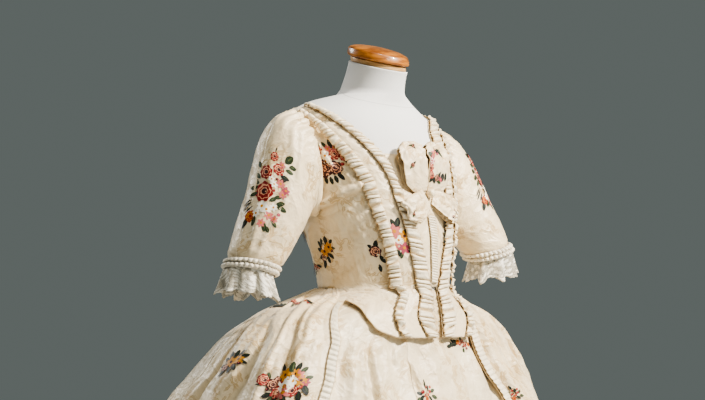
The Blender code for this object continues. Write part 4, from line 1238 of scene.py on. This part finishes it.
sleeveCreases = {  # turn in degrees from the outer fold, stations from the armhole
    "right": [
        (((52, 0.6), (66, 1.7), (72, 2.6)), 0.0022, 5.0), (((40, 1.2), (58, 2.2)), 0.0016, 4.0),
        (((62, 4.2), (54, 5.2), (48, 6.3)), 0.0016, 4.0), (((24, 5.6), (30, 6.6)), 0.0014, 4.0),
        (((-70, 0.2), (-60, 2.0), (-66, 3.4)), 0.0020, 7.0), (((-100, 0.0), (-95, 1.6)), 0.0022, 8.0),
        (((20, 3.2), (34, 4.6), (30, 5.6)), 0.0018, 8.0), (((-20, 0.3), (-12, 1.6)), 0.0016, 6.0),
        (((-112, 5.2), (-70, 5.9), (-46, 6.4)), 0.0022, 8.0),
        (((-160, 4.6), (-110, 4.9), (-80, 5.4)), 0.0018, 7.0),
        (((60, 5.4), (100, 5.8)), 0.0018, 8.0), (((-8, 4.4), (4, 6.0)), 0.0012, 6.0),
    ],
    "left": [
        (((-140, 4.2), (-110, 4.9), (-84, 5.7)), 0.0030, 9.0),
        (((-150, 5.2), (-120, 5.9), (-92, 6.4)), -0.0022, 9.0),
        (((-60, 0.2), (-66, 2.0), (-60, 3.4)), 0.0020, 8.0), (((-30, 1.0), (-36, 3.2)), 0.0014, 7.0),
        (((40, 4.6), (90, 5.2)), 0.0018, 9.0), (((-100, 3.4), (-70, 4.2)), 0.0014, 8.0),
    ],
}


def sleeveSurface(side):
    sign, table = sides[side], sleeves[side]

    def bare(turn, station):
        around = np.radians(turn) * sign
        angle = armhole["angle"] + armhole["halfAngle"] * np.sin(around)
        height = armhole["height"] + armhole["halfHeight"] * np.cos(around)
        head = plainBodice(sign * angle, height, silk + lap + 0.0008)
        tube = ringOn(table, sign, around, np.maximum(station, 0))
        return np.where((station < 0)[..., None], mix(head, tube, np.clip(station + 1, 0, 1)[..., None]), tube)

    def surface(turn, station, lift=0.0):
        turn, station = np.broadcast_arrays(np.asarray(turn, float), np.asarray(station, float))
        gathers = np.sin(np.radians(turn) * sleeve["gathers"] + np.sin(station * 2))
        gathers = sleeve["gatherDepth"] * gathers * smooth(1.6, -0.2, station)
        gathers = gathers * smooth(-1, -0.6, station) * smooth(0.1, 0.8, np.cos(np.radians(turn)))
        factor = sleeve["lineStretch"]
        near = creased(turn, station * factor, stretchLines(sleeveCreases[side], factor))
        soft = uneven(turn * 0.0009, station, sleeve["soft"])
        ends = smooth(-1.0, -0.4, station) * smooth(7.0, 6.6, station)
        out = np.maximum(gathers + sleeve["creaseFactor"] * near + soft, -0.002) * ends + lift
        step, rise = 0.6, 0.02
        along = bare(turn + step, station) - bare(turn - step, station)
        up = bare(turn, np.clip(station - rise, -1, 7)) - bare(turn, np.clip(station + rise, -1, 7))
        normal = normalTo(along, up) * sign
        middle = ringOn(table, sign, np.radians(turn) * sign, np.maximum(station, 0), -0.02)
        away = np.sign(np.sum((bare(turn, station) - middle) * normal, -1, keepdims=True))
        return bare(turn, station) + normal * away * out[..., None]

    return surface


def buildSleeves():
    for side, sign in sides.items():
        surface = sleeveSurface(side)
        columns, levels = sleeve["grid"][side]
        piece = layCloth(f"sleeve_{side}", spread(columns, 0, 360), spread(levels, 7, -1), surface,
                         sleeve["wall"], silkFinish, closed=True,
                         replaced=[f"sleeve_{side}_front", f"sleeve_{side}_back"])
        sprigs = stitchFlowers(f"sleeve_{side}_flowers", surface, sleeveFlowers[side], sleeve["flowerLift"],
                               (1.0, 0.05), (1, -1))
        way = cuffWay(side)

        def pastCuff(turn, grow, along):
            cuff = ringOn(sleeves[side], sign, np.radians(turn) * sign, 7.0 + 0 * turn, grow)
            return cuff + way * np.asarray(along)[..., None]

        def band(turn, share):  # two rows of puffs
            puffs = np.abs(np.sin(np.radians(turn) * cuffBand["puffs"] + 1.2 * (share > 0.5))) ** 0.8
            tiers = np.abs(np.sin(2 * math.pi * share)) ** 0.7
            wave = cuffBand["wave"] * np.sin(np.radians(turn) * 9)
            grow = silk + lap + 0.0010 * (1 - share) + cuffBand["stand"] * tiers * (0.12 + 0.88 * puffs)
            along = mix(cuffBand["low"], cuffBand["high"], share) + wave * np.sin(math.pi * share)
            return pastCuff(turn, grow, along)

        # painted shade in the fold between the band's two rows of puffs
        columns, levels = cuffBand["grid"]
        piece = layCloth(f"sleeve_band_{side}", spread(columns, 0, 360), spread(levels, 1, 0), band,
                         cuffBand["wall"], bandFinish, closed=True,
                         tint=lambda u, v: cuffBand["shadeTint"] * smooth(0.10, 0.0, np.abs(v - 0.5)))

        def lace(turn, share):
            around = np.radians(turn) * sign
            wave = np.cos(9 * around) + 0.45 * np.cos(16 * around + 1) + 0.30 * np.cos(5 * around + 2)
            grow = -0.0022 + (laceFlounce["flare"] + laceFlounce["wave"] * wave) * share ** 1.2
            scallop = 1 - np.abs(np.sin(laceFlounce["scallops"] * around))
            scallop = laceFlounce["scallopDepth"] * scallop * smooth(0.9, 1.0, share)
            length = laceFlounce["length"] + 0.0036 * wave - 0.008 * smooth(0.2, 1.0, -np.cos(around))
            point = pastCuff(turn, grow, 0.0010 + length * np.minimum(share, 0.3))
            point[..., 2] -= length * np.maximum(0, share - 0.3) + scallop - 0.002 * (share > 0.9)
            return point

        columns, levels = laceFlounce["grid"]
        piece = layCloth(f"lace_{side}", spread(columns, 0, 360), spread(levels, 1, 0), lace,
                         laceFlounce["wall"], laceFinish, closed=True,
                         tint=lambda u, v: smooth(0.955, 0.985, v))
    print("sleeves built")


# Skirts
overskirt = dict(  # lengths in metres; the columns are counted for the whole way round
    wall=0.0013, columns=dict(front=520, other=300), soft=((0.0030, 0.40, 0.07, 1), (0.0013, 0.6, 0.028, 6)),
    gathers=420, gatherDepth=0.0008, lineStretch=0.35, seamGap=0.0003, flowerLift=0.0030,
    hemTint=0.5, valleyShade=0.16, mostTint=0.34,
)
petticoat = dict(
    wall=0.0013, pleats=9, frontLow=-60, frontHigh=48, soft=((0.0030, 0.5, 0.06, 8), (0.0012, 0.8, 0.025, 3)),
    pressedFactor=1.7, lineStretch=200, seamGap=0.03, flowerLift=0.0016, plainLevels=36,
    flapShadow=0.16, mostTint=0.3,
)
skirtCreases = [  # share round the overskirt against drop: the big pleat at the near hip and its neighbours
    (((0.035, 0.012), (0.050, 0.045), (0.062, 0.075), (0.068, 0.110)), 0.0050, 0.0065),
    (((0.028, 0.020), (0.030, 0.070), (0.026, 0.110)), -0.0016, 0.0060),
    (((0.100, 0.015), (0.112, 0.060), (0.118, 0.150), (0.122, 0.330)), 0.0050, 0.0055),
    (((0.072, 0.020), (0.080, 0.080), (0.090, 0.240)), 0.0036, 0.0045),
    (((0.140, 0.020), (0.160, 0.090), (0.166, 0.200)), 0.0040, 0.0050),
    (((0.196, 0.030), (0.202, 0.120), (0.214, 0.300)), 0.0040, 0.0050),
    (((0.960, 0.020), (0.956, 0.120), (0.950, 0.300)), 0.0040, 0.0045),
]


def foldShape(share, drop):  # 0 in a valley to 1 on a ridge
    i = np.clip(np.searchsorted(foldMarks, share) - 1, 0, len(foldMarks) - 2)
    phase = np.clip((share - foldMarks[i]) / (foldMarks[i + 1] - foldMarks[i]), 0, 1)
    rounded = np.sin(math.pi * phase) ** 0.85
    knife = phase ** 0.8 * (1 - smooth(0.80, 1.0, phase)) * 1.15
    shape = mix(knife, rounded, smooth(0.06, 0.30, drop))
    return np.where((share > foldMarks[0]) & (share < foldMarks[-1]), shape, 0)


def skirtMarks(share, drop):
    factor = overskirt["lineStretch"]
    return creased(share, drop * factor, stretchLines(skirtCreases, factor))


def pressedPleats(angle, drop):
    factor = petticoat["lineStretch"]
    return creased(angle, drop * factor, stretchLines(petticoatPleats, factor))


def overskirtSurface(share, drop, lift=0.0):
    share, drop = np.broadcast_arrays(np.asarray(share, float), np.asarray(drop, float))
    start, end = -skirtEdge("right", drop), skirtEdge("left", drop) - 360
    depth = lookUp(foldDepth, "drop", "depth", drop)
    spring = 0.0024 - 0.0015 * np.maximum(0, 1 - drop / 0.02)
    fold = depth * foldShape(share, drop)
    inside = smooth(0.02, 0.035, share) * smooth(0.98, 0.965, share)
    soft = uneven(share * 1.6, drop, overskirt["soft"])
    gather = overskirt["gatherDepth"] * np.sin(share * overskirt["gathers"]) * smooth(0.05, 0.0, drop)
    extra = (soft * smooth(0.01, 0.12, drop) + gather) * inside * smooth(0, 0.4, foldShape(share, drop))
    marks = skirtMarks(share, drop) * smooth(0.0, 0.03, drop)
    return onSkirt(mix(start, end, share), drop, spring + np.maximum(fold + extra + marks, 0) + lift)


def onOverskirt(share, drop, lift):  # out along the folds' own normal; the share runs right and the drop down
    return raised(overskirtSurface, share, drop, -np.asarray(lift), 0.0006, -0.001)


petticoatPleats = [  # angle against drop: the pressed pleats under the flap, as in the photo
    (((-44.0, 0.030), (-40.0, 0.070), (-36.0, 0.106)), 0.0028, 1.1),
    (((-16.7, 0.080), (-17.0, 0.125)), 0.0022, 0.9),
    (((-10.6, 0.135), (-9.6, 0.160), (-9.0, 0.182)), 0.0050, 1.2),
    (((-27.4, 0.090), (-26.5, 0.149), (-25.4, 0.230)), 0.0034, 1.6),
    (((-31.6, 0.090), (-30.9, 0.157), (-30.0, 0.300)), 0.0030, 1.4),
    (((-21.0, 0.090), (-21.0, 0.200)), 0.0020, 1.5),
    (((-3.0, 0.095), (-2.0, 0.260)), 0.0024, 1.8),
    (((4.0, 0.095), (5.0, 0.280)), 0.0024, 1.8),
]


def petticoatSurface(angle, drop, lift=0.0):
    angle, drop = np.broadcast_arrays(np.asarray(angle, float), np.asarray(drop, float))
    low, high = petticoat["frontLow"], petticoat["frontHigh"]
    inFront = (angle > low) & (angle < high)
    wave = np.where(inFront, np.sin((angle - low) / (high - low) * petticoat["pleats"] * math.pi) ** 2, 0)
    depth = np.where(drop > 0.07, 0.0006 + 0.030 * drop, 0.0006 * drop / 0.07)
    free = smooth(0.088, 0.115, drop) * inFront
    soft = uneven(angle * 0.005, drop, petticoat["soft"])
    pressed = petticoat["pressedFactor"] * pressedPleats(angle, drop) * free
    return onSkirt(angle, drop, -silk - depth * wave + (pressed + soft * free) + lift)


def onPetticoat(angle, drop, lift):
    return raised(petticoatSurface, angle, drop, lift, 0.2, -0.001)


def foldShadeAndEdges(share, drop):  # painted shade in the overskirt's valleys and beside its ridges, and the tint of its edges
    valley = (1 - foldShape(share, drop)) ** 3 * smooth(0.01, 0.06, drop) * smooth(0.018, 0.03, share)
    beside = skirtMarks(share - 0.0050, drop)  # each ridge is lit from the front, so its far side is painted darker
    edges = overskirt["hemTint"] * np.maximum(smooth(0.0012, 0.0, share), smooth(0.9988, 1.0, share))
    return np.maximum(edges, np.clip(overskirt["valleyShade"] * valley + 45 * beside, 0, overskirt["mostTint"]))


def pleatAndFlapShade(angle, drop):  # painted shade beside the petticoat's pleats, and painted shadow under the flap
    beside = pressedPleats(angle + 1.3, drop) * smooth(0.088, 0.105, drop)
    underFlap = smooth(0.012, 0.0, drop - lookUp(flapEdge, "angle", "drop", np.abs(angle)))
    return np.clip(70 * beside + petticoat["flapShadow"] * underFlap, 0, petticoat["mostTint"])


overskirtGores = (  # name, the fold whose middle is its far seam, the nodes under it
    ("front_right", 3, ["petticoat_front_right", "petticoat_right"]), ("side_right", 7, ["petticoat_right"]),
    ("back_right", 10, ["petticoat_back_right"]), ("back_left", 13, ["petticoat_back_left"]),
    ("side_left", 16, ["petticoat_left"]), ("front_left", None, ["petticoat_front_left", "petticoat_left"]),
)
petticoatGores = (  # name, columns, first and last angle
    ("petticoat_front_right", 120, -60, -12), ("petticoat_front_left", 140, -12, 48),
    ("petticoat_left", 24, 48, 128), ("petticoat_back_left", 14, 128, 175),
    ("petticoat_back_right", 14, 175, 222), ("petticoat_right", 24, 222, 300),
)
photoSprigs = {  # on the overskirt: share, drop, turn, scale, motif
    "overskirt_front_right": [
        (0.080, 0.166, 4, 1.15, "bouquet"), (0.143, 0.034, 10, 1.25, "garland"),
        (0.172, 0.133, 6, 1.0, "goldSprig"),
    ],
    "overskirt_front_left": [(0.978, 0.200, 0, 0.8, "berries")],
}
apron = [  # on the petticoat: angle, drop, turn, scale, motif
    (-8.0, 0.184, 0, 1.15, "berries"), (9.5, 0.100, -10, 0.9, "garland"), (-36, 0.300, 8, 1.1, "bouquet"),
    (-20, 0.400, -6, 1.1, "roseSpray"), (6, 0.300, 10, 1.0, "goldSprig"), (-44, 0.520, 0, 1.1, "roseSpray"),
    (-24, 0.600, 12, 1.1, "bouquet"), (2, 0.540, 0, 1.1, "roseCluster"), (20, 0.430, 0, 1.1, "pinkPair"),
    (26, 0.640, 0, 1.1, "bouquet"), (-36, 0.780, 0, 1.1, "garland"), (-3, 0.800, 0, 1.1, "roseSpray"),
    (16, 0.830, 8, 1.1, "goldSprig"), (-48, 0.900, 0, 1.1, "bouquet"),
]
repeat = dict(  # of the brocade round the rest of the overskirt
    rows=5, columns=14, firstShare=0.055, shareStep=0.068, firstDrop=0.16, dropStep=0.185, scale=0.95,
    seamRoom=0.022,
    motifs=["roseSpray", "bouquet", "goldSprig", "garland", "berries", "pinkPair", "roseCluster"],
)


def brocadeSpots(names, seams):  # the sprigs that the photo shows, then the repeat
    spots = {name: list(photoSprigs.get(name, [])) for name in names}
    count = 0
    for row in range(repeat["rows"]):
        for column in range(repeat["columns"]):
            share = repeat["firstShare"] + repeat["shareStep"] * column + repeat["shareStep"] / 2 * (row % 2)
            drop = repeat["firstDrop"] + repeat["dropStep"] * row
            owner = next(name for name, low, high in zip(names, seams, seams[1:])
                         if low <= share <= high or high == 1.0)
            nearSeam = min(abs(share - seam) for seam in seams) < repeat["seamRoom"]
            count += 1
            if nearSeam or (row == 0 and not 0.30 < share < 0.86) or share > 0.93:
                continue
            motif = repeat["motifs"][count * 3 % len(repeat["motifs"])]
            spots[owner].append((share, drop, (count * 47) % 60 - 30, repeat["scale"], motif))
    return spots


def buildSkirts():
    seams = [0.0] + [(foldMarks[i] + foldMarks[i + 1]) / 2 for _, i, _ in overskirtGores[:-1]] + [1.0]
    names = [f"overskirt_{part}" for part, _, _ in overskirtGores]
    spots = brocadeSpots(names, seams)
    drops = np.concatenate((spread(34, 0.995, 0.30), spread(56, 0.30, 0.002)[1:]))
    for name, low, high, (_, _, under) in zip(names, seams, seams[1:], overskirtGores):
        count = round((high - low) * overskirt["columns"]["front" if "front" in name else "other"])
        gap = overskirt["seamGap"]
        shares = spread(count, low + (gap if low > 0 else 0), high + (-gap if high < 1 else 0))[::-1]
        gore = layCloth(name, shares, drops, overskirtSurface, overskirt["wall"], silkFinish, tint=foldShadeAndEdges)
        sprigs = stitchFlowers(name + "_flowers", onOverskirt, spots[name], overskirt["flowerLift"],
                               (0.0006, 0.001), (-1, -1))

    for name, count, low, high in petticoatGores:
        inFront = "front" in name
        levels = drops if inFront else spread(petticoat["plainLevels"], 0.995, 0.002)
        angles = spread(count, low + petticoat["seamGap"], high - petticoat["seamGap"])
        gore = layCloth(name, angles, levels, petticoatSurface, petticoat["wall"], petticoatFinish,
                        tint=pleatAndFlapShade if inFront else None)
        sprigs = []
        if inFront:
            placed = [spot for spot in apron if low < spot[0] < high]
            sprigs = [stitchFlowers(name + "_flowers", onPetticoat, placed, petticoat["flowerLift"],
                                    (0.2, 0.001), (1, -1))]
    print("skirts built")


# Ruched trims down the overskirt's front edges; lengths in metres
skirtTrim = dict(
    puffs=95, width=0.0167, stand=0.0046, wall=0.0007, columns=10, steps=6, low=0.030, high=0.990, rimTint=0.75,
)


def buildSkirtTrims():
    for side in sides:
        def place(share, pleat):
            drop = mix(skirtTrim["low"], skirtTrim["high"], (pleat / skirtTrim["puffs"]) ** 1.15)
            across = mix(0.0006, skirtTrim["width"], share)
            phase = (pleat + 0.6 * share) % 1.0
            puff = phase ** 1.2 * (1 - smooth(0.84, 1.0, phase))
            puff = puff * (0.35 + 0.65 * np.sin(math.pi * share) ** 0.6)
            lift = silk + 0.0013 + skirtTrim["stand"] * puff * np.minimum(1, drop / 0.09)
            return overskirtSurface(across if side == "right" else 1 - across, drop, lift)

        shares = spread(skirtTrim["columns"])[::sides[side]]
        pleats = spread(skirtTrim["puffs"] * skirtTrim["steps"], skirtTrim["puffs"], 0)
        piece = layCloth(f"skirt_trim_{side}", shares, pleats, place, skirtTrim["wall"], ruffleFinish,
                         tint=lambda u, v: skirtTrim["rimTint"] * np.maximum(smooth(0.10, 0.0, u),
                                                                             smooth(0.90, 1.0, u)))
    print("trims built")


# Stage and light
stage = dict(
    floorSize=9.0, floor=(0.62, 0.63, 0.62, 1), sky=(0.46, 0.52, 0.50, 1), skyStrength=0.28, aim=(0, 0, 1.0),
)
lamps = (  # name, place, size, watts, colour
    ("key", (1.2, -3.4, 3.8), 0.50, 330, (1.0, 0.97, 0.92)),
    ("top", (-0.6, -1.6, 4.4), 0.7, 50, (1.0, 0.97, 0.92)),
    ("front", (-0.7, -4.1, 3.2), 0.8, 22, (1.0, 0.97, 0.92)),
    ("fill", (-2.9, -3.2, 1.8), 1.8, 4, (1.0, 0.93, 0.86)),
    ("back", (-0.6, 3.2, 2.8), 1.4, 50, (1.0, 1.0, 1.0)),
)


def buildStage():
    maker = bmesh.new()
    bmesh.ops.create_grid(maker, x_segments=1, y_segments=1, size=stage["floorSize"])
    mesh = bpy.data.meshes.new("floor")
    maker.to_mesh(mesh)
    maker.free()
    material, board, shader = newMaterial("pale_floor", 0.8)
    shader.inputs["Base Color"].default_value = stage["floor"]
    mesh.materials.append(material)
    floor = bpy.data.objects.new("floor", mesh)
    show(floor)
    world = bpy.data.worlds.new("studio")
    world.use_nodes = True
    background = world.node_tree.nodes["Background"]
    background.inputs["Color"].default_value = stage["sky"]
    background.inputs["Strength"].default_value = stage["skyStrength"]
    bpy.context.scene.world = world
    for name, place, size, watts, colour in lamps:
        light = bpy.data.lights.new(name, "AREA")
        light.shape = "DISK"
        light.size = size
        light.energy = watts
        light.color = colour
        lamp = bpy.data.objects.new(name, light)
        lamp.location = place
        lamp.rotation_euler = (Vector(stage["aim"]) - Vector(place)).to_track_quat("-Z", "Y").to_euler()
        show(lamp)


buildForm()
buildBodice()
for sideName in sides:
    buildRuffle(f"ruffle_outer_{sideName}", sideName, "outer", "frill")
    buildRuffle(f"ruffle_inner_{sideName}", sideName, "inner", "neck")
print("ruffles built")
buildStomacher()
buildBows()
buildSleeves()
buildSkirts()
buildSkirtTrims()
buildStage()
